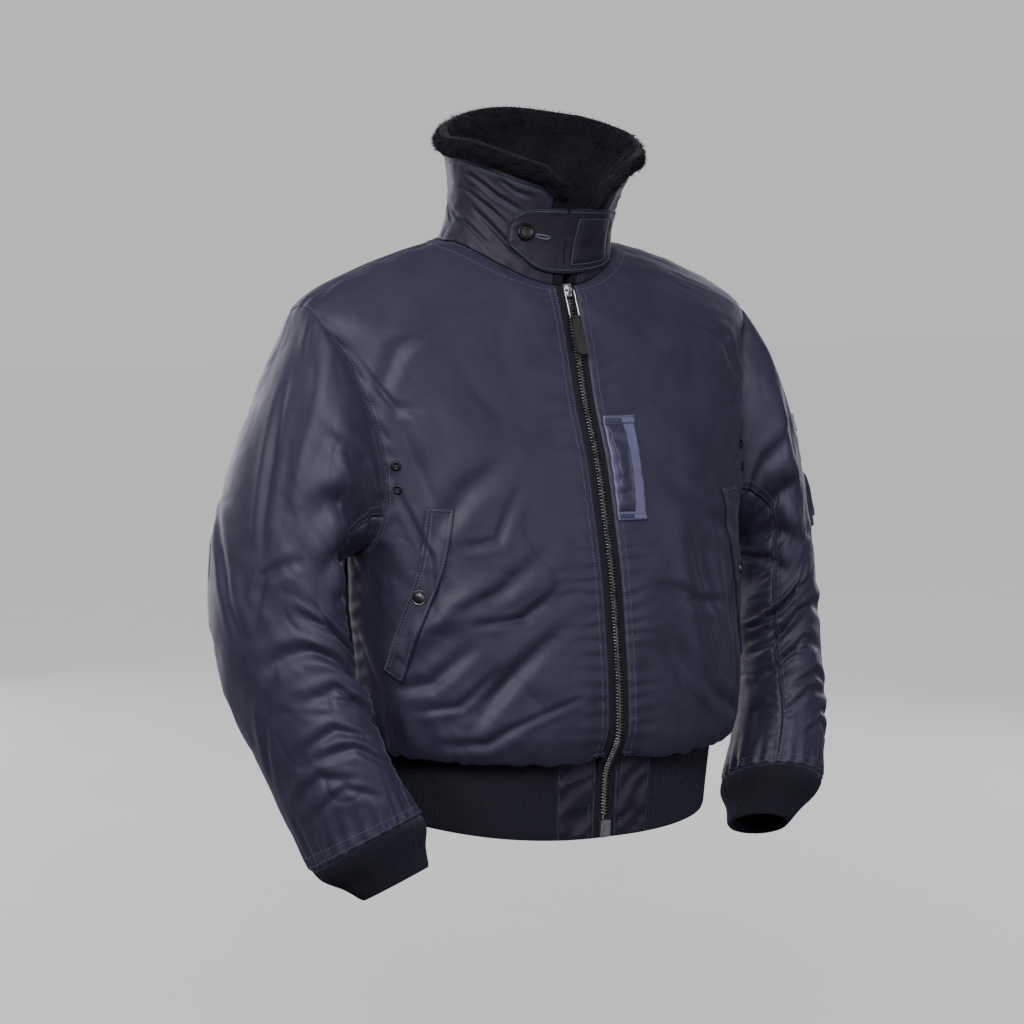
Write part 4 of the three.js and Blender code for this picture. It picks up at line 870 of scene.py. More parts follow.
# The shell's cloth: creases, rumples, gathers at the neck seam and a groove under its upper edge.
def collarSurface(phi, rise, lift=0.0):
    phi, rise = np.broadcast_arrays(phi, rise)
    points = collarPlace(shellTurn(phi, rise), collarUp(phi, rise), 0)
    normals = outwardNormals(points)
    across, along = signedTurn(phi) * collar["radius"], rise * collar["tall"]
    wide = phi % (2 * np.pi) * collar["radius"]
    relief = creaseRelief(across, along, collar["creases"], collar["radius"], collar["tall"])
    relief = relief + 0.8 * rumple(wide, along * 1.5, 24, 51) + 0.4 * rumple(wide, along, 10, 52)
    relief += 0.9 * np.sin(wide / 3.1 + 2 * rumple(wide, along, 30, 53)) * np.exp(-along / 7)
    relief *= insideEnds(rise, 0.04, 0.05)
    relief -= 0.9 * bell(((1 - rise) * collar["tall"] - 6) / 1.4)
    return points + normals * (relief + lift)[..., None], normals


def collarShell():
    edge = collar["edge"] * degree
    surface = collarSurface(np.linspace(edge, 2 * np.pi - edge, fit(330))[None, :],
                            np.linspace(0, 1, fit(66))[:, None])
    # The shell takes the darker nylon: painted shade.
    made = clothShell("collarShell", surface, shadedNylon, collar["wall"])
    finishPiece(made, ["collar_shell"])


# Pile: the closed profile that lines the collar and rolls over its top, as share of the shell's
# height, height above that and distance out; then its clumps and its fibres.
pile = {
    "profile": [[0, 0, -2.9], [0.15, 0, -2.9], [0.35, 0, -2.9], [0.55, 0, -2.9], [0.75, 0, -2.9],
                [0.9, 0, -2.9], [1, 0.6, -2.9], [1, 0.8, 2.6], [1, 6, 7.5], [1, 13, 7.5],
                [1, 20, 3], [1, 22, -4], [1, 16, -11], [1, 5, -13.5], [0.9, 0, -13],
                [0.45, 0, -12], [0, 0, -10.5]],
    "edge": 3, "openRight": 7, "openLeft": 15, "around": 240, "fine": 5,
    "capShrink": [0.9, 0.66, 0.3], "fibres": 22000, "fibreLength": (3.6, 6.4), "fibreWidth": 0.34,
    "seed": 7,
    "cut": {"flat": (0.56, 0.14), "held": "folded", "rests_on": ["collar_shell"]},
}


# A smooth curve through points, one cubic for each stretch with slopes from its neighbours, and
# fine steps in each. A closed one runs on from its last point to its first.
def curveThrough(points, fine, closed):
    points = np.array(points, float)
    if closed:
        p0, p1, p2, p3 = (np.roll(points, -k, 0)[:, None] for k in (-1, 0, 1, 2))
    else:
        ends = np.r_[points[:1], points, points[-1:]]
        p0, p1, p2, p3 = (ends[k:len(ends) - 3 + k][:, None] for k in range(4))
    t = (np.arange(fine) / fine)[None, :, None]
    curve = 0.5 * (2 * p1 + (p2 - p0) * t + (2 * p0 - 5 * p1 + 4 * p2 - p3) * t**2
                   + (3 * p1 - p0 - 3 * p2 + p3) * t**3)
    curve = curve.reshape(-1, points.shape[1])
    return curve if closed else np.r_[curve, points[-1:]]


# The pile's surface: its profile at each angle round the neck, brought out to the shell's face
# past the shell's front edges, lumpy where it shows, and closed by shrinking rings at both ends.
def collarPileSurface():
    profile = curveThrough(pile["profile"], pile["fine"], True)
    edge = pile["edge"] * degree
    phi = np.linspace(edge, 2 * np.pi - edge, pile["around"])[:, None]
    rise, above, out = (profile[None, :, k] for k in range(3))
    rise = np.clip(rise, 0, 1)
    fromFront = np.minimum(phi, 2 * np.pi - phi)
    closeIn = smoothStep(8.2 * degree, 9.2 * degree, fromFront)
    faces = smoothStep(-4.5, -3.5, out) * (1 - smoothStep(0, 2.6, out))
    away = np.where(faces > 0, faces * ((1 - closeIn) * 0.4 + closeIn * out) + (1 - faces) * out, out)
    blend = smoothStep(edge, 6 * degree, fromFront)
    turn = (collarTurn(phi, rise, pile["openRight"], pile["openLeft"], 0.5, 1) * (1 - blend)
            + shellTurn(phi, rise) * blend)
    points = collarPlace(turn, collarUp(phi, rise) + above, away)
    normals = gridNormals(points.transpose(1, 0, 2)).transpose(1, 0, 2)
    middle = points.mean(1, keepdims=True)
    normals *= np.sign(dot(normals, points - middle).sum()) or 1
    roam = phi * collar["radius"] + 0 * rise
    walk = np.arange(profile.shape[0])[None, :] * 3.4 + 0 * phi
    clump = 1.5 * rumple(roam, walk, 17, 61) + 0.9 * rumple(roam, walk, 7, 62)
    shown = 1 - smoothStep(-5.5, -3.2, out) * (1 - smoothStep(2.6, 4.5, out))
    points = points + normals * (clump * shown)[..., None]
    first = [points[:1] + (points[:1].mean(1, keepdims=True) - points[:1]) * (1 - s)
             for s in pile["capShrink"][::-1]]
    last = [points[-1:] + (points[-1:].mean(1, keepdims=True) - points[-1:]) * (1 - s)
            for s in pile["capShrink"]]
    bulge = np.array([2.2, 1.9, 1.2])
    ahead = unit(points[0].mean(0) - points[2].mean(0)), unit(points[-1].mean(0) - points[-3].mean(0))
    first = [ring + ahead[0] * b for ring, b in zip(first, bulge)]
    last = [ring + ahead[1] * b for ring, b in zip(last, bulge[::-1])]
    return np.concatenate(first + [points] + last), shown


# Fibres: thin three-sided spikes, standing on the pile and leaning about at random.
def fibreMesh(points, shown):
    chance = np.random.default_rng(pile["seed"])
    rings, count = points.shape[:2]
    i = chance.integers(0, rings - 1, pile["fibres"] * 2)
    j = chance.integers(0, count, pile["fibres"] * 2)
    keep = shown[0, j] > 0.5
    i, j = i[keep][:pile["fibres"]], j[keep][:pile["fibres"]]
    u, v = chance.uniform(0, 1, (2, len(i), 1))
    k = (j + 1) % count
    a, b, c, d = points[i, j], points[i + 1, j], points[i + 1, k], points[i, k]
    root = a * (1 - u) * (1 - v) + b * u * (1 - v) + c * u * v + d * (1 - u) * v
    normal = unit(np.cross(b - a, d - a))
    centre = points.mean(1)[i]
    normal *= np.sign(dot(normal, root - centre))[:, None]
    lean = unit(normal + chance.normal(0, 0.42, normal.shape) + (0, 0, -0.12))
    length = chance.uniform(*pile["fibreLength"], (len(i), 1))
    side = unit(np.cross(lean, chance.normal(0, 1, lean.shape)))
    third = np.cross(lean, side)
    w = pile["fibreWidth"]
    ring = [root - normal * 0.5 + w * (side * np.cos(q) + third * np.sin(q)) for q in (0, 2.1, 4.2)]
    bend = root + lean * length + chance.normal(0, 0.5, lean.shape)
    corners = np.stack(ring + [bend], 1).reshape(-1, 3)
    base = np.arange(len(i))[:, None, None] * 4
    faces = (base + np.array([[0, 1, 3], [1, 2, 3], [2, 0, 3], [0, 2, 1]])[None]).reshape(-1, 3)
    return corners, faces
# The pile and its fibres, which stand wherever it doesn't lie against the shell.
def collarPileLining():
    points, shown = collarPileSurface()
    rings, count = points.shape[:2]
    flat = points.reshape(-1, 3)
    faces = gridFaces(rings, count, 0, True).tolist()
    ends = np.arange(count).tolist(), np.arange((rings - 1) * count, rings * count).tolist()
    faces += [ends[0][::-1], ends[1]]
    made = makeMesh("collarPile", flat, faces, collarPile)
    finishPiece(made, ["collar_pile"])
    corners, spikes = fibreMesh(points, shown)
    finishPiece(makeMesh("collarPileFibres", corners, spikes.tolist(), collarPile))
    print("pile fibres:", len(spikes) // 4)


collarShell()
collarPileLining()
print("collar made")

# Hem band: heights of its lower edge, how far it draws in, and where its knit begins.
hem = {"frontZ": -640, "sideZ": -624, "backZ": -622, "taper": 0.05, "facingShare": (2 / 12) ** 1.1,
       "middle": (0, -36, 0), "ribs": 286, "ribHeight": 0.5, "wall": 2.2, "tall": 96, "seamGap": 0.001,
       "zipGap": 0.0006,
       "cut": {"flat": (0.95, 0.10), "held": "stretched", "rests_on": ["back"]},
       "facingCut": {"flat": (0.054, 0.10), "held": "stretched", "rests_on": ["zip_tape_left"]}}
hemZip = zipAngle(np.zeros(1))[0]
hemFacing = hemZip + (np.pi / 2 - hemZip) * hem["facingShare"]


# Below the hem seam, each point goes straight down and in towards the middle by the taper.
def hemForm(phi, down):
    phi, down = np.broadcast_arrays(phi, down)
    top = torsoForm(phi, np.zeros_like(phi, float))
    first = torsoAt(np.zeros(1))
    middle, half = (first["frontY"] + first["backY"]) / 2, first["halfWidth"]
    side, fore = np.sin(phi), np.cos(phi)
    draw = 1 - hem["taper"] * down
    endZ = (hem["sideZ"] + (np.where(fore > 0, hem["frontZ"], hem["backZ"]) - hem["sideZ"]) * fore**2
            + torso["hemSlope"] * half * side)
    beside = np.maximum(abs(top[..., 0]) - torso["zipHalfWidth"], 0)
    x = np.sign(top[..., 0]) * (np.minimum(abs(top[..., 0]), torso["zipHalfWidth"]) + beside * draw)
    startZ = top[..., 2] - 0.3
    return np.stack([x, middle + (top[..., 1] - middle) * draw, startZ + (endZ - startZ) * down], -1)


def outwards(points):
    return unit((points - hem["middle"]) * (1, 1, 0))


def hemPlace(phi, down, lift=0.0):
    points = hemForm(phi, down)
    near = hemForm(phi + 0.01, down) - hemForm(phi - 0.01, down)
    normals = unit(np.stack([near[..., 1], -near[..., 0], 0 * near[..., 0]], -1))
    normals = normals * np.sign(dot(normals, outwards(points)))[..., None]
    return points + normals * np.asarray(lift)[..., None], normals


# Ribs: rounded ridges along the knit, a set number of them all round, each the sum of a sine and
# a smaller one of twice its turn.
def ribs(place, count, height):
    turn = 2 * np.pi * count * place
    return height * (np.sin(turn) * 0.75 + 0.25 * np.sin(2 * turn + 1.2) - 0.5)


# The knit runs round the back from one nylon facing to the other, its ribs flattened at both edges.
def hemKnitBand():
    down, share = gridShares(20, 1450, 5)
    start = hemFacing + hem["seamGap"]
    soft = 1 - bell(np.minimum(down, 1 - down) * 100 / 2.2)
    pull = 0.9 * rumple(share * 900, down * 60, 45, 71) * insideEnds(down, 0.2)
    lift = ribs(share, hem["ribs"], hem["ribHeight"]) * soft - 1.2 * (1 - soft) + pull * 0.8
    made = clothShell("hemKnit", hemPlace(start + (2 * np.pi - 2 * start) * share, down, lift), ribKnit,
                      hem["wall"], 5)
    finishPiece(made, ["hem_knit"])


# Each facing has slanting wrinkles that fade out at its edges.
def hemFacingPanel(side):
    down, share = gridShares(90, 30)
    start = hemZip + hem["zipGap"]
    across, along = np.broadcast_arrays(share * 30, down * hem["tall"])
    edge = np.minimum(down, 1 - down) * hem["tall"]
    inside = smoothStep(0, 9, edge) * insideEnds(share, 0.14)
    diagonal = (along + across * 1.5 * side) / 5.2 + 2.2 * rumple(across, along, 22, 84 + side)
    lift = inside * (2.2 * rumple(across + along * 0.7, along - across * 0.5, 17, 81 + side)
                     + 1.5 * np.sin(diagonal)) - 0.8 * bell(edge / 2)
    surface = hemPlace(side * (start + (hemFacing - hem["seamGap"] - start) * share), down, lift)
    # The facings take the darker nylon: painted shade.
    made = clothShell(f"hemFacing_{sideName[side]}", surface, shadedNylon, hem["wall"])
    finishPiece(made, [f"hem_facing_{sideName[side]}"])


# Cuffs: the axis that each runs on along from the sleeve, how it narrows, and its ribs.
cuff = {"length": 54, "inward": 0.65, "forward": 0.25, "ribs": 104, "ribHeight": 0.48, "wall": 2.0,
        "rows": [[0, 1], [0.25, 0.95], [0.6, 0.74], [1, 0.6]],
        "cut": {"flat": (0.30, 0.06), "held": "stretched", "rests_on": ["sleeve_left_upper"]}}
cuffAt = smoothTable(["along", "shrink"], cuff["rows"])


# From the sleeve's last ring the cuff runs on along its own axis and narrows to the wrist.
def cuffForm(side, turn, along):
    turn, along = np.broadcast_arrays(turn, along)
    last = lambda turns: sleeveForm(side, turns, np.ones_like(turns))
    middle = last(np.array([0, np.pi])).mean(0)
    axis = unit(np.array([-side * cuff["inward"], -cuff["forward"], -1.0]))
    return (middle + (last(turn) - middle) * cuffAt(along)["shrink"][..., None]
            + axis * (0.3 + along * cuff["length"])[..., None])


def knitCuff(side):
    turn = np.arange(cuff["ribs"] * 5)[None, :] * 2 * np.pi / (cuff["ribs"] * 5)
    along = np.linspace(0, 1, fit(20, 5))[:, None]
    points = cuffForm(side, turn, along)
    normals = gridNormals(points, True)
    normals *= np.sign(dot(normals, points - points.mean(1, keepdims=True)))[..., None]
    soft = 1 - bell(np.minimum(along, 1 - along) * cuff["length"] / 2)
    wave = ribs(turn / (2 * np.pi), cuff["ribs"], cuff["ribHeight"]) * soft - 1.0 * (1 - soft)
    roll = 0.9 * rumple(turn * 80, along * 54, 80 * np.pi / 8, 91 + side, 16)
    points = points + normals * (wave + roll * soft)[..., None]
    made = clothShell(f"knitCuff_{sideName[side]}", (points, normals), ribKnit, cuff["wall"], 5, True)
    finishPiece(made, [f"cuff_{sideName[side]}"])


hemKnitBand()
for side in (-1, 1):
    hemFacingPanel(side)
    knitCuff(side)
print("hem and cuffs made")

# Zip: tapes beside the front edges from the hem to the neck, and the teeth on them.
zipper = {"inner": 0.6, "outer": 11.7, "depth": 1.0, "wall": 1.3, "pitch": 3.4, "toothReach": 4.4,
          "toothOver": 1.2, "toothThick": 1.5, "toothHigh": 2.6, "top": 0.965, "bottom": 0.76,
          "bridge": (-0.34, 0.12),
          "cut": {"flat": (0.0125, 0.63), "held": "stretched", "rests_on": ["front_left"]}}


# Along the zip, walk runs from the hem's lower edge (-1) over the hem seam (0) to the neck (1). A
# cubic bridge with the slopes of both ends carries it over the seam.
def zipSurface(x, walk, lift):
    x, walk = np.broadcast_arrays(x, walk)

    def form(up, down):
        phi = np.sign(x) * angleAt(abs(x), up)
        return np.where((walk >= 0)[..., None], torsoForm(phi, up), hemForm(phi, down))
    points = form(np.clip(walk, 0, 1), np.clip(-walk, 0, 1))
    below, above = zipper["bridge"]
    share = np.clip((walk - below) / (above - below), 0, 1)[..., None]
    flat = 0.0 * x
    first, last = hemForm(flat, flat - below), torsoForm(flat, flat + above)
    leave = unit(hemForm(flat, flat - below - 0.02) - hemForm(flat, flat - below + 0.02))
    arrive = unit(torsoForm(flat, flat + above + 0.02) - torsoForm(flat, flat + above - 0.02))
    reach = np.linalg.norm(last - first, axis=-1, keepdims=True)
    start, startSlope, end, endSlope = cubicShares(share)
    bridge = (first * start + last * end + leave * reach * startSlope + arrive * reach * endSlope)
    points = np.where((share > 0) & (share < 1), bridge, points)
    points[..., 0] = x
    slope = np.gradient(points, axis=0)
    normals = unit(np.cross(slope, np.array([1.0, 0, 0])))
    normals *= np.sign(-normals[..., 1:2])
    return points + normals * np.asarray(lift)[..., None], normals


zipWalk = np.r_[np.linspace(-1, 0, 37)[:-1], np.linspace(0, 1, 205)]


# A tape is a strip beside the teeth with a low cord along it.
def zipTape(side):
    walk, x = zipWalk[:, None], np.linspace(zipper["inner"], zipper["outer"], fit(12))[None, :]
    lift = 0.35 * bell((x - 8.6) / 0.7) - zipper["depth"] + 0 * walk
    made = clothShell(f"zipTape_{sideName[side]}", zipSurface(side * x, walk, lift), zipTapeCloth,
                      zipper["wall"])
    finishPiece(made, [f"zip_tape_{sideName[side]}"])


# Places at equal steps along a path of points, with the path's direction and normal there.
def walkPath(points, normals, step, start=0.5):
    reach = np.r_[0, np.cumsum(np.linalg.norm(np.diff(points, axis=0), axis=-1))]
    stops = np.arange(start * step, reach[-1] - 0.4 * step, step)
    at = lambda values, s: np.stack([np.interp(s, reach, values[:, k]) for k in range(3)], -1)
    ahead = unit(at(points, stops + 0.4 * step) - at(points, stops - 0.4 * step))
    return at(points, stops), ahead, unit(at(normals, stops))


# Copies of one small shape: each corner is a sum along the place's three axes.
def scatter(shape, faces, places, axes):
    corners = places[:, None] + np.einsum("sk,nkc->nsc", shape, axes)
    starts = range(0, len(places) * len(shape), len(shape))
    return corners.reshape(-1, 3), [[start + k for k in face] for start in starts for face in faces]


# Axes across, ahead and out for each place along a path.
def axesAlong(ahead, outs):
    across = unit(np.cross(ahead, outs))
    return np.stack([across, ahead, np.cross(across, ahead)], 1)


# One tooth: an eight-sided section swept across the zip, thinner where it hooks the next.
def toothShape():
    turn = (np.arange(8) + 0.5) * np.pi / 4
    section = np.stack([np.cos(turn), np.sin(turn)], -1) / np.cos(np.pi / 8)
    stations = [(-zipper["toothOver"], 0.72), (-0.3, 0.95), (1.2, 0.8), (zipper["toothReach"], 0.98)]
    rings = []
    for x, grow in stations:
        along = section[:, 0] * zipper["toothThick"] / 2 * grow
        high = section[:, 1] * zipper["toothHigh"] / 2 * (0.8 + 0.2 * grow)
        rings.append(np.stack([np.full(8, x), along, high], -1))
    faces = gridFaces(len(stations), 8, 0, True).tolist()
    last = 8 * (len(stations) - 1)
    faces += [list(range(8))[::-1], [last + k for k in range(8)]]
    return np.concatenate(rings), faces


# Teeth stand at equal steps on both sides of the middle line, half a step apart.
def zipTeeth():
    shape, faces = toothShape()
    walk = zipWalk[(zipWalk > -zipper["bottom"]) & (zipWalk < zipper["top"]), None]
    points, normals = zipSurface(np.full((1, 1), 1e-6), walk, 0 * walk)
    corners, every = [], []
    for side in (-1, 1):
        places, ahead, outs = walkPath(points[:, 0], normals[:, 0], zipper["pitch"],
                                       0.5 if side > 0 else 1.0)
        axes = np.stack([np.tile([1.0, 0, 0], (len(places), 1)), ahead, outs], 1)
        turned = faces if side > 0 else [face[::-1] for face in faces]
        made, madeFaces = scatter(shape * (side, 1, 1), turned, places + outs * 0.35, axes)
        base = len(corners[0]) if corners else 0
        corners.append(made)
        every += [[base + v for v in face] for face in madeFaces]
    made = makeMesh("zipTeeth", np.concatenate(corners), every, toothMetal, flip=False)
    print("zip teeth:", sum(len(c) for c in corners) // len(shape))
    finishPiece(made)


for side in (-1, 1):
    zipTape(side)
zipTeeth()
print("zip made")


# Between four corners: s runs down from the first pair of corners to the second and t across.
def between(corners, s, t):
    a, b, c, d = np.array(corners, float)[:, None, None]
    s, t = s[..., None], t[..., None]
    mixed = (a * (1 - t) + b * t) * (1 - s) + (c * (1 - t) + d * t) * s
    return mixed[..., 0] * degree, mixed[..., 1]


# A quarter circle from 0 at an edge up to 1.
def roundedEdge(share):
    return np.sqrt(np.clip(1 - np.clip(1 - share, 0, 1) ** 2, 0, 1))


# A layer between four corners on a panel, with rounded edges; lift, wall and relief are in
# millimetres.
def layerPiece(name, locate, corners, size, counts, lift, wall, material, relief=None, curve=None):
    s, t = np.broadcast_arrays(*gridShares(*counts))
    angle, along = between(corners, s, t)
    if curve is not None:
        angle = curve(s, t, angle)
    edge = np.minimum(np.minimum(s, 1 - s) * size[1], np.minimum(t, 1 - t) * size[0])
    thick = wall * (0.35 + 0.65 * roundedEdge(edge / (wall * 0.8)))
    if relief is not None:
        thick = thick + relief(s, t) * smoothStep(0, 3.5, edge)
    base = lift(s, t) if callable(lift) else lift
    return clothShell(name, locate(angle, along, base + thick), material, thick)


# The surface that a layer lies on, as a function of angle, share along and lift.
def onTorso(side):
    return lambda angle, up, lift: torsoPlace(side * angle, up, lift)


def onSleeve(side):
    return lambda turn, along, lift: sleevePlace(side, turn, along, lift)

# One point of a panel, with its outward direction.
def spotOn(locate, angle, along, lift):
    point, normal = locate(np.full((1, 1), angle * degree), np.full((1, 1), along), lift)
    return point[0, 0], normal[0, 0]


# Slanted hand pockets: each welt is a padded strip with its snap, on both fronts.
flap = {
    "corners": [[47, 0.565], [37, 0.57], [73, 0.235], [65, 0.215]], "size": (30, 205),
    "lift": 1.0, "wall": 3.2, "snap": (56, 0.395),
    "snapProfile": [[8.2, 0], [8.25, 0.8], [7.9, 1.3], [7.1, 1.45], [6.5, 1.25], [6.1, 1.2], [5.6, 2.1],
                    [4.2, 3.1], [2.4, 3.6], [0.3, 3.8]],
    "cut": {"flat": (0.031, 0.205), "held": "stretched", "rests_on": ["front_left"]},
}


def pocketWelt(side):
    seed, (wide, tall) = 110 + side, flap["size"]
    wrinkles = lambda s, t: (
        0.8 * rumple(t * wide, s * tall, 26, seed) + 0.5 * rumple(t * wide, s * tall, 11, seed + 4)
        - 0.9 * bell((t - 0.2) / 0.05) - 0.5 * bell((t - 0.86) / 0.05))
    made = layerPiece(f"pocketWelt_{sideName[side]}", onTorso(side), flap["corners"], flap["size"],
                      (120, 33), flap["lift"], flap["wall"], nylon, wrinkles)
    finishPiece(made, [f"pocket_flap_{sideName[side]}"])


# A turned solid: a profile of radius and height round a place's outward direction. An open
# profile is capped at its two ends, and a closed one makes a ring.
def turnedPiece(name, profile, spot, material, closed=False, count=48):
    place, out = spot
    profile = curveThrough(profile, 3, closed)
    turn = np.arange(count) * 2 * np.pi / count
    side = unit(np.cross(out, (0, 0, 1.0)))
    ring = side * np.cos(turn)[:, None] + np.cross(side, out) * np.sin(turn)[:, None]
    points = place + profile[:, :1, None] * ring[None] + profile[:, 1:, None] * out
    faces = gridFaces(len(profile), count, 0, True).tolist()
    first, last = np.arange(count), (len(profile) - 1) * count + np.arange(count)
    if closed:
        faces += np.stack([last, np.roll(last, -1), np.roll(first, -1), first], -1).tolist()
    else:
        faces += [first[::-1].tolist(), last.tolist()]
    return makeMesh(name, points.reshape(-1, 3), faces, material)


def pocketSnap(side):
    spot = spotOn(onTorso(side), *flap["snap"], flap["lift"] + flap["wall"] + 0.1)
    made = turnedPiece(f"pocketSnap_{sideName[side]}", flap["snapProfile"], spot, blackMetal)
    finishPiece(made, [f"pocket_snap_{sideName[side]}"])


for side in (-1, 1):
    pocketWelt(side)
    pocketSnap(side)
print("hand pockets made")

# Chest patch: a satin ribbon with a looser strap bowed over its left part and a bar at each end.
chest = {
    "ribbon": [[1.75, 0.73], [7.8, 0.727], [1.7, 0.553], [7.6, 0.55]], "ribbonSize": (37, 108),
    "strap": [[1.9, 0.718], [5.2, 0.716], [1.85, 0.565], [5, 0.563]], "strapSize": (21, 93),
    "topBar": [[1.7, 0.732], [7.9, 0.729], [1.7, 0.718], [7.85, 0.715]],
    "bottomBar": [[1.65, 0.563], [7.65, 0.56], [1.65, 0.549], [7.65, 0.546]], "barSize": (38, 9),
    "halfBars": [[[1.8, 0.7275], [4.9, 0.726], [1.8, 0.7195], [4.9, 0.718]],
                 [[1.75, 0.5605], [4.7, 0.559], [1.75, 0.5525], [4.7, 0.551]]],
    "cut": {"flat": (0.038, 0.108), "held": "laid", "rests_on": ["front_left"]},
    "strapCut": {"flat": (0.022, 0.096), "held": "laid", "rests_on": ["chestRibbon"]},
}


# The strap bows off the ribbon with the sine of its length, and is flat under its bars.
def chestPatch():
    left = onTorso(1)
    weave = lambda s, t: 0.25 * rumple(t * 37, s * 108, 14, 121)
    made = layerPiece("chestRibbon", left, chest["ribbon"], chest["ribbonSize"], (72, 30), 0.6, 1.2,
                      lilacRibbon, weave)
    finishPiece(made, ["chest_patch"])
    bow = lambda s, t: 2.0 + 4.2 * np.sin(np.pi * np.clip(s, 0, 1)) ** 0.8
    wave = lambda s, t: (0.8 * np.sin(np.pi * s) * np.cos(1.4 * np.pi * (t - 0.15))
                         + 0.5 * rumple(t * 21, s * 93, 24, 122))
    pull = lambda s, t, angle: angle + degree * np.sin(np.pi * s) * (0.5 * (1 - t) - 0.15 * t)
    made = layerPiece("chestStrap", left, chest["strap"], chest["strapSize"], (96, 24), bow, 0.9,
                      strapRibbon, wave, pull)
    finishPiece(made, ["chest_strap"])
    for name in ("topBar", "bottomBar"):
        finishPiece(layerPiece("chestRibbon_" + name, left, chest[name], chest["barSize"], (12, 36),
                               1.9, 1.2, lilacRibbon))
    for name, corners in zip(("top", "bottom"), chest["halfBars"]):
        finishPiece(layerPiece(f"chestStrapEnd_{name}", left, corners, (20, 5), (9, 24), 3.1, 0.7,
                               strapRibbon))


chestPatch()
print("chest patch made")

# Throat strap: angle round the neck, then the heights of its lower and upper edges.
throat = {
    "rows": [[-42, 2, 15], [-39, -6, 24], [-32, -16, 32], [-22, -29, 34], [-10, -35, 34],
             [10, -35, 33], [30, -30, 32], [45, -21, 31]],
    "lift": 1.2, "wall": 2.3, "button": (-31, 9), "boxAngles": (2, 36), "boxShares": (0.14, 0.84),
    "from": -42, "to": 45, "perDegree": 1.5, "buttonhole": (-24.5, -15.5), "buttonShare": 0.53,
    "buttonProfile": [[8.9, 0.2], [9.1, 1.1], [8.9, 2.6], [8.1, 3.5], [7.1, 3.6], [6.3, 2.9],
                      [5.3, 2.5], [3.0, 2.45], [0.3, 2.4]],
    "cut": {"flat": (0.150, 0.069), "area": 0.0088, "held": "laid", "rests_on": ["collarShell"]},
}
throatAt = smoothTable(["angle", "low", "high"], throat["rows"])


# Across the strap, share goes from its lower to its upper edge; angle runs along it.
def throatPlace(angle, share, lift=0.0):
    edges = throatAt(angle)
    phi = angle * degree
    z = edges["low"] + (edges["high"] - edges["low"]) * share
    neck = torsoForm(phi, np.ones_like(phi))[..., 2]
    points = collarPlace(phi, z - neck, throat["lift"] + throat["wall"])
    near = collarPlace(phi + 0.01, z, 0) - collarPlace(phi - 0.01, z, 0)
    above = collarPlace(phi, z + 1, 0) - collarPlace(phi, z - 1, 0)
    normals = unit(np.cross(near, above))
    return points + normals * np.asarray(lift)[..., None], normals


# The padded strap: rumples, a raised box with a seam round it, and a dent under the button.
def throatStrap():
    share, angle = np.broadcast_arrays(np.linspace(0, 1, fit(60))[:, None],
                                       np.linspace(throat["from"], throat["to"], fit(150))[None, :])
    tall, wide = throatAt(angle)["high"] - throatAt(angle)["low"], throat["perDegree"]
    inside = lambda low, high, first, last: np.minimum(
        np.minimum(angle - low, high - angle) * wide, np.minimum(share - first, last - share) * tall)
    edge = inside(throat["from"], throat["to"], 0, 1)
    across, along = (angle + 60) * wide, share * 64
    lift = smoothStep(0, 5, edge) * (0.9 * rumple(across, along, 21, 131)
                                     + 0.45 * rumple(across, along, 9, 132))
    toBox = inside(*throat["boxAngles"], *throat["boxShares"])
    fromButton = np.hypot((angle - throat["button"][0]) * wide, (share - throat["buttonShare"]) * tall)
    lift += (1.1 * smoothStep(0, 7, toBox) - 0.8 * bell(toBox / 1.2) - 0.6 * bell(edge - 3.2)
             - 1.0 * bell(fromButton / 9) + 1.4 * (roundedEdge(edge / 1.8) - 1))
    # The strap takes the darker nylon: painted shade.
    made = clothShell("throatStrap", throatPlace(angle, share, lift), shadedStrapNylon, throat["wall"] + lift)
    finishPiece(made, ["throat_strap"])


def throatButton():
    angle, z = (np.full((1, 1), float(value)) for value in throat["button"])
    edges = throatAt(angle)
    point, normal = throatPlace(angle, (z - edges["low"]) / (edges["high"] - edges["low"]), 0.1)
    made = turnedPiece("throatButton", throat["buttonProfile"], (point[0, 0], normal[0, 0]), darkMetal)
    finishPiece(made, ["throat_button"])


throatStrap()
throatButton()
print("throat strap made")

# Utility pocket on the left sleeve: the padded pocket, its zip, and a pen pocket below it.
utility = {
    "pocket": [[34, 0.24], [-14, 0.24], [34, 0.46], [-14, 0.46]], "pocketSize": (74, 123),
    "zip": [[26.5, 0.255], [19.5, 0.255], [26.5, 0.345], [19.5, 0.345]], "zipSize": (9, 51),
    "pens": [[28, 0.37], [-6, 0.37], [28, 0.45], [-6, 0.45]], "pensSize": (53, 46),
    "zipTurn": 23, "zipAlong": (0.258, 0.343), "toothStep": 1.7, "toothLift": 8.6,
    "cut": {"flat": (0.086, 0.130), "held": "stretched", "rests_on": ["sleeveUpper_left"]},
    "zipCut": {"flat": (0.013, 0.055), "held": "stretched", "rests_on": ["sleevePocket"]},
    "pensCut": {"flat": (0.055, 0.048), "held": "stretched", "rests_on": ["sleevePocket"]},
}


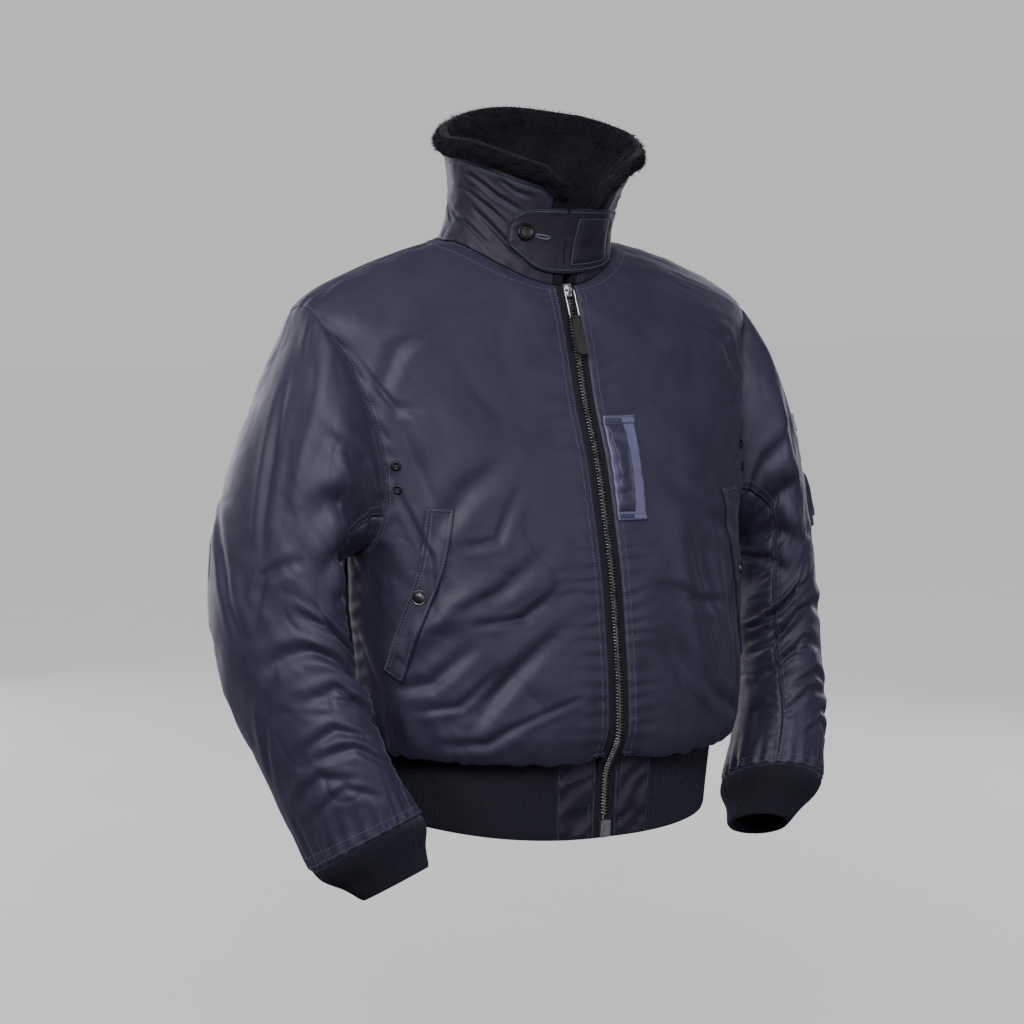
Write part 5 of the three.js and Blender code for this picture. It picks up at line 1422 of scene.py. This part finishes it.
# The pocket swells between its seams, with its zip's tape and two slots for pens on it.
def utilityPocket():
    left, (wide, tall) = onSleeve(1), utility["pocketSize"]
    puff = lambda s, t: (1.8 * np.sin(np.pi * s) * np.sin(np.pi * t)
                         + 1.1 * rumple(t * wide, s * tall, 24, 141)
                         + 0.5 * rumple(t * wide, s * tall, 10, 142)
                         - 0.8 * bell((np.minimum(t, 1 - t) * wide - 4) / 1.1)
                         - 0.8 * bell((np.minimum(s, 1 - s) * tall - 4) / 1.1))
    made = layerPiece("sleevePocket", left, utility["pocket"], utility["pocketSize"], (126, 78),
                      0.6, 4.0, nylon, puff)
    finishPiece(made, ["sleeve_pocket"])
    made = layerPiece("sleevePocketTape", left, utility["zip"], utility["zipSize"], (48, 9), 6.6, 1.2,
                      zipTapeCloth, lambda s, t: 0.8 * bell((t - 0.5) / 0.16))
    finishPiece(made, ["sleeve_pocket_zip"])
    slots = lambda s, t: (1.5 * abs(np.sin(2 * np.pi * t)) ** 0.7 * smoothStep(0, 0.3, 1.1 - s)
                          + 0.6 * rumple(t * 53, s * 46, 14, 143) - 0.7)
    made = layerPiece("penPocket", left, utility["pens"], utility["pensSize"], (48, 54), 5.4, 3.2,
                      nylon, slots)
    finishPiece(made, ["pen_pocket"])


# Small teeth in one row along the pocket's zip.
def pocketTeeth():
    walk = np.linspace(*utility["zipAlong"], 60)[:, None]
    points, normals = onSleeve(1)(utility["zipTurn"] * degree + 0 * walk, walk, utility["toothLift"])
    places, ahead, outs = walkPath(points[:, 0], normals[:, 0], utility["toothStep"])
    shape, faces = toothShape()
    shape = shape * (0.55, 0.5, 0.5) - (1.0, 0, 0)
    corners, every = scatter(shape, faces, places, axesAlong(ahead, outs))
    finishPiece(makeMesh("sleevePocketTeeth", corners, every, blackMetal))


utilityPocket()
pocketTeeth()
print("sleeve pocket made")

# Eyelets under each arm: pressed rings, by angle and height, and the section they are turned from.
eyelets = {"places": [(55, 0.62), (56.5, 0.585)], "lift": 0.3,
           "profile": [[1.9, -0.2], [2.1, 0.5], [2.9, 1.15], [4.0, 1.2], [4.9, 0.7], [5.2, 0.0],
                       [3.5, -0.5]]}
for side in (-1, 1):
    for number, (angle, up) in enumerate(eyelets["places"], 1):
        name, spot = f"{sideName[side]}_{number}", spotOn(onTorso(side), angle, up, eyelets["lift"])
        made = turnedPiece(f"eyeletRing_{name}", eyelets["profile"], spot, darkMetal, True, 40)
        finishPiece(made, [f"eyelet_{name}"])

# Hard pieces that keep their solids.
hardFinishes = {"zip_slider": nickel, "zip_pull_wire": nickel, "zip_pull_tab": tabLeather,
                "zip_box": nickel, "sleeve_zip_slider": nickel, "sleeve_zip_pull": nickel,
                "pen_tip": nickel}
for node, finish in hardFinishes.items():
    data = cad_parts[node].data
    data.materials.clear()
    data.materials.append(finish)
print("hard pieces finished")

# Stitches: short flat rods, in rows along each seam.
stitch = {"step": 3.4, "strapStep": 2.9, "holeStep": 0.9, "length": 2.6, "half": 0.52, "thick": 0.42,
          "lift": 0.12, "torsoReach": 235, "sleeveReach": 82, "shoulderReach": (250, 100)}
stitchRows = {"torsoStitches": [], "sleeveStitches": [], "trimStitches": []}


# One stitch: a four-sided rod, pointed at both ends.
def stitchShape():
    ring = np.array([[1, 0], [0, 1], [-1, 0], [0, -1]]) * (stitch["half"], stitch["thick"])
    reach = stitch["length"] / 2
    corners = [[0, -reach, 0]]
    for y in (-0.66 * reach, 0.66 * reach):
        corners += [[x, y, z] for x, z in ring]
    corners.append([0, reach, 0])
    faces = []
    for k in range(4):
        n = (k + 1) % 4
        faces += [[0, 1 + n, 1 + k], [1 + k, 1 + n, 5 + n, 5 + k], [5 + k, 5 + n, 9]]
    return np.array(corners), faces


def sew(group, row, step=stitch["step"]):
    points, normals = (values[:, 0] for values in row)
    stitchRows[group].append(walkPath(points, normals, step))


def torsoRow(phi, up):
    phi, up = np.broadcast_arrays(phi, up)
    sew("torsoStitches", torsoPlace(phi[:, None], up[:, None], stitch["lift"]))


# Rows beside the zip, round the armholes, along the shoulders and sides, and round neck and hem.
def sewTorso():
    ups, shoulder = np.linspace(0.006, 0.994, 320), np.linspace(armHigh + 0.012, 0.99, 90)
    armUps = armholeUp(np.pi * np.linspace(0.005, 0.995, 160))
    frontEdge, backEdge = armholeAngles(armUps)
    reach = stitch["torsoReach"]
    shoulderReach = np.interp(shoulder, (armHigh, 1), stitch["shoulderReach"])
    for side in (-1, 1):
        for x in (14.6, 21.5):
            torsoRow(side * angleAt(x, ups), ups)
        for gap in (3.0, 9.0):
            torsoRow(side * (frontEdge - gap / reach), armUps)
        torsoRow(side * (backEdge + 3.0 / reach), armUps)
        for gap in (2.5, 8.0):
            torsoRow(side * (np.pi / 2 + gap / shoulderReach), shoulder)
        torsoRow(side * (np.pi / 2 + 3.0 / reach), np.linspace(0.01, armLow - 0.01, 120))
        torsoRow(side * np.linspace(angleAt(24.0, 0.9), 88 * degree, 200), 0.982)
        torsoRow(side * np.linspace(7 * degree, 88 * degree, 260), 0.007)
    torsoRow(np.linspace(92 * degree, 268 * degree, 420), 0.007)
    torsoRow(np.linspace(92 * degree, 268 * degree, 300), 0.985)


def sleeveRow(side, turn, along):
    turn, along = np.broadcast_arrays(turn, along)
    sew("sleeveStitches", sleevePlace(side, turn[:, None], along[:, None], stitch["lift"]))


def sewSleeves():
    for side in (-1, 1):
        for seam, ahead in ((sleeve["frontSeam"], -1), (sleeve["backSeam"], 1)):
            for gap in (3.2, 9.2):
                sleeveRow(side, 2 * np.pi * seam / sleeve["steps"] + ahead * gap / stitch["sleeveReach"],
                          np.linspace(0.03, 0.985, 260))
        for along in (0.992, 0.975, 0.007):
            sleeveRow(side, np.linspace(0, 2 * np.pi, 220), along)


# A set of lines on a layer, given as shares down and across; otherwise its outline, inset.
def layerRow(locate, corners, size, inset, lift, lines=None):
    a, b = inset / size[0], inset / size[1]
    for line in lines or [[(b, a), (b, 1 - a), (1 - b, 1 - a), (1 - b, a), (b, a)]]:
        line = np.array(line)
        steps = np.linspace(0, len(line) - 1, 60 * (len(line) - 1) + 1)
        s, t = (np.interp(steps, np.arange(len(line)), line[:, k])[:, None] for k in range(2))
        sew("trimStitches", locate(*between(corners, s, t), lift))


def strapRow(angles, shares):
    angles, shares = np.broadcast_arrays(angles, shares)
    sew("trimStitches", throatPlace(angles[:, None], shares[:, None], 0.35), stitch["strapStep"])


# Rows on the welts, the hem facings, the chest ribbon, the sleeve pocket, the throat strap and
# the collar's upper edge.
def sewTrims():
    down = -np.linspace(-0.99, -0.02, 80)[:, None]
    for side in (-1, 1):
        layerRow(onTorso(side), flap["corners"], flap["size"], 2.6, flap["lift"] + flap["wall"] + 0.1, [
            [(0.015, 0.1), (0.015, 0.9), (0.985, 0.9), (0.985, 0.1), (0.015, 0.1)],
            [(0.03, 0.26), (0.97, 0.26)]])
        facingRows = (angleAt(14.6, 0.0), 0.15), (angleAt(21.0, 0.0), 0.15), (hemFacing - 0.016, 0.3)
        for phi, lift in facingRows:
            points = hemPlace(side * phi + 0 * down, down, lift)[0]
            sew("trimStitches", (points, outwards(points)))
    layerRow(onTorso(1), chest["ribbon"], chest["ribbonSize"], 1.6, 2.0)
    for name in ("topBar", "bottomBar"):
        layerRow(onTorso(1), chest[name], chest["barSize"], 1.6, 3.3)
    layerRow(onSleeve(1), utility["pocket"], utility["pocketSize"], 3.4, 4.9)
    layerRow(onSleeve(1), utility["pens"], utility["pensSize"], 2.4, 8.5)
    for share in (0.055, 0.945):
        strapRow(np.linspace(-38.5, 41, 120), share)
    strapRow(-39.5, np.linspace(0.18, 0.82, 30))
    (a, b), (c, d) = throat["boxAngles"], throat["boxShares"]
    for angles, shares in (((a, b), (c, c)), ((b, b), (c, d)), ((b, a), (d, d)), ((a, a), (d, c))):
        strapRow(np.linspace(*angles, 50), np.linspace(*shares, 50))
    rim = np.linspace(12 * degree, 348 * degree, 360)[None, :]
    row = collarSurface(rim, np.linspace(0.93, 0.95, 3)[:, None], 0.15)
    sew("trimStitches", [values[1][:, None] for values in row])


# Stitches that stand across an oval.
def buttonhole():
    first, last = throat["buttonhole"]
    turn = np.linspace(0, 2 * np.pi, 60)[:, None]
    points, normals = throatPlace((first + last) / 2 + (last - first) / 2 * np.cos(turn),
                                  throat["buttonShare"] + 0.028 * np.sin(turn), 0.5)
    places, ahead, outs = walkPath(points[:, 0], normals[:, 0], stitch["holeStep"])
    stitchRows["trimStitches"].append((places, unit(np.cross(ahead, outs)), outs))


def joinStitches():
    shape, faces = stitchShape()
    for name, rows in stitchRows.items():
        places, ahead, outs = (np.concatenate([row[k] for row in rows]) for k in range(3))
        corners, every = scatter(shape, faces, places, axesAlong(ahead, outs))
        finishPiece(makeMesh(name, corners, every, seamThread))
        print(name, len(places))


sewTorso()
sewSleeves()
sewTrims()
buttonhole()
joinStitches()
print("stitches made")


# The floor, plain and pale, well below the hanging jacket.
def makeStageFloor():
    reach, level = 14000, -1050
    corners = [[x * reach, y * reach, level] for x, y in ((-1, -1), (1, -1), (1, 1), (-1, 1))]
    made = makeMesh("floor", np.array(corners), [[0, 1, 2, 3]], makeFloor(), flip=False)
    made.visible_diffuse = made.visible_glossy = False  # it shows, and lights nothing from below
    made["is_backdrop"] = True


makeStageFloor()

size = {"cad": cadBox, "visual": [list(corner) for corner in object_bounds()]}
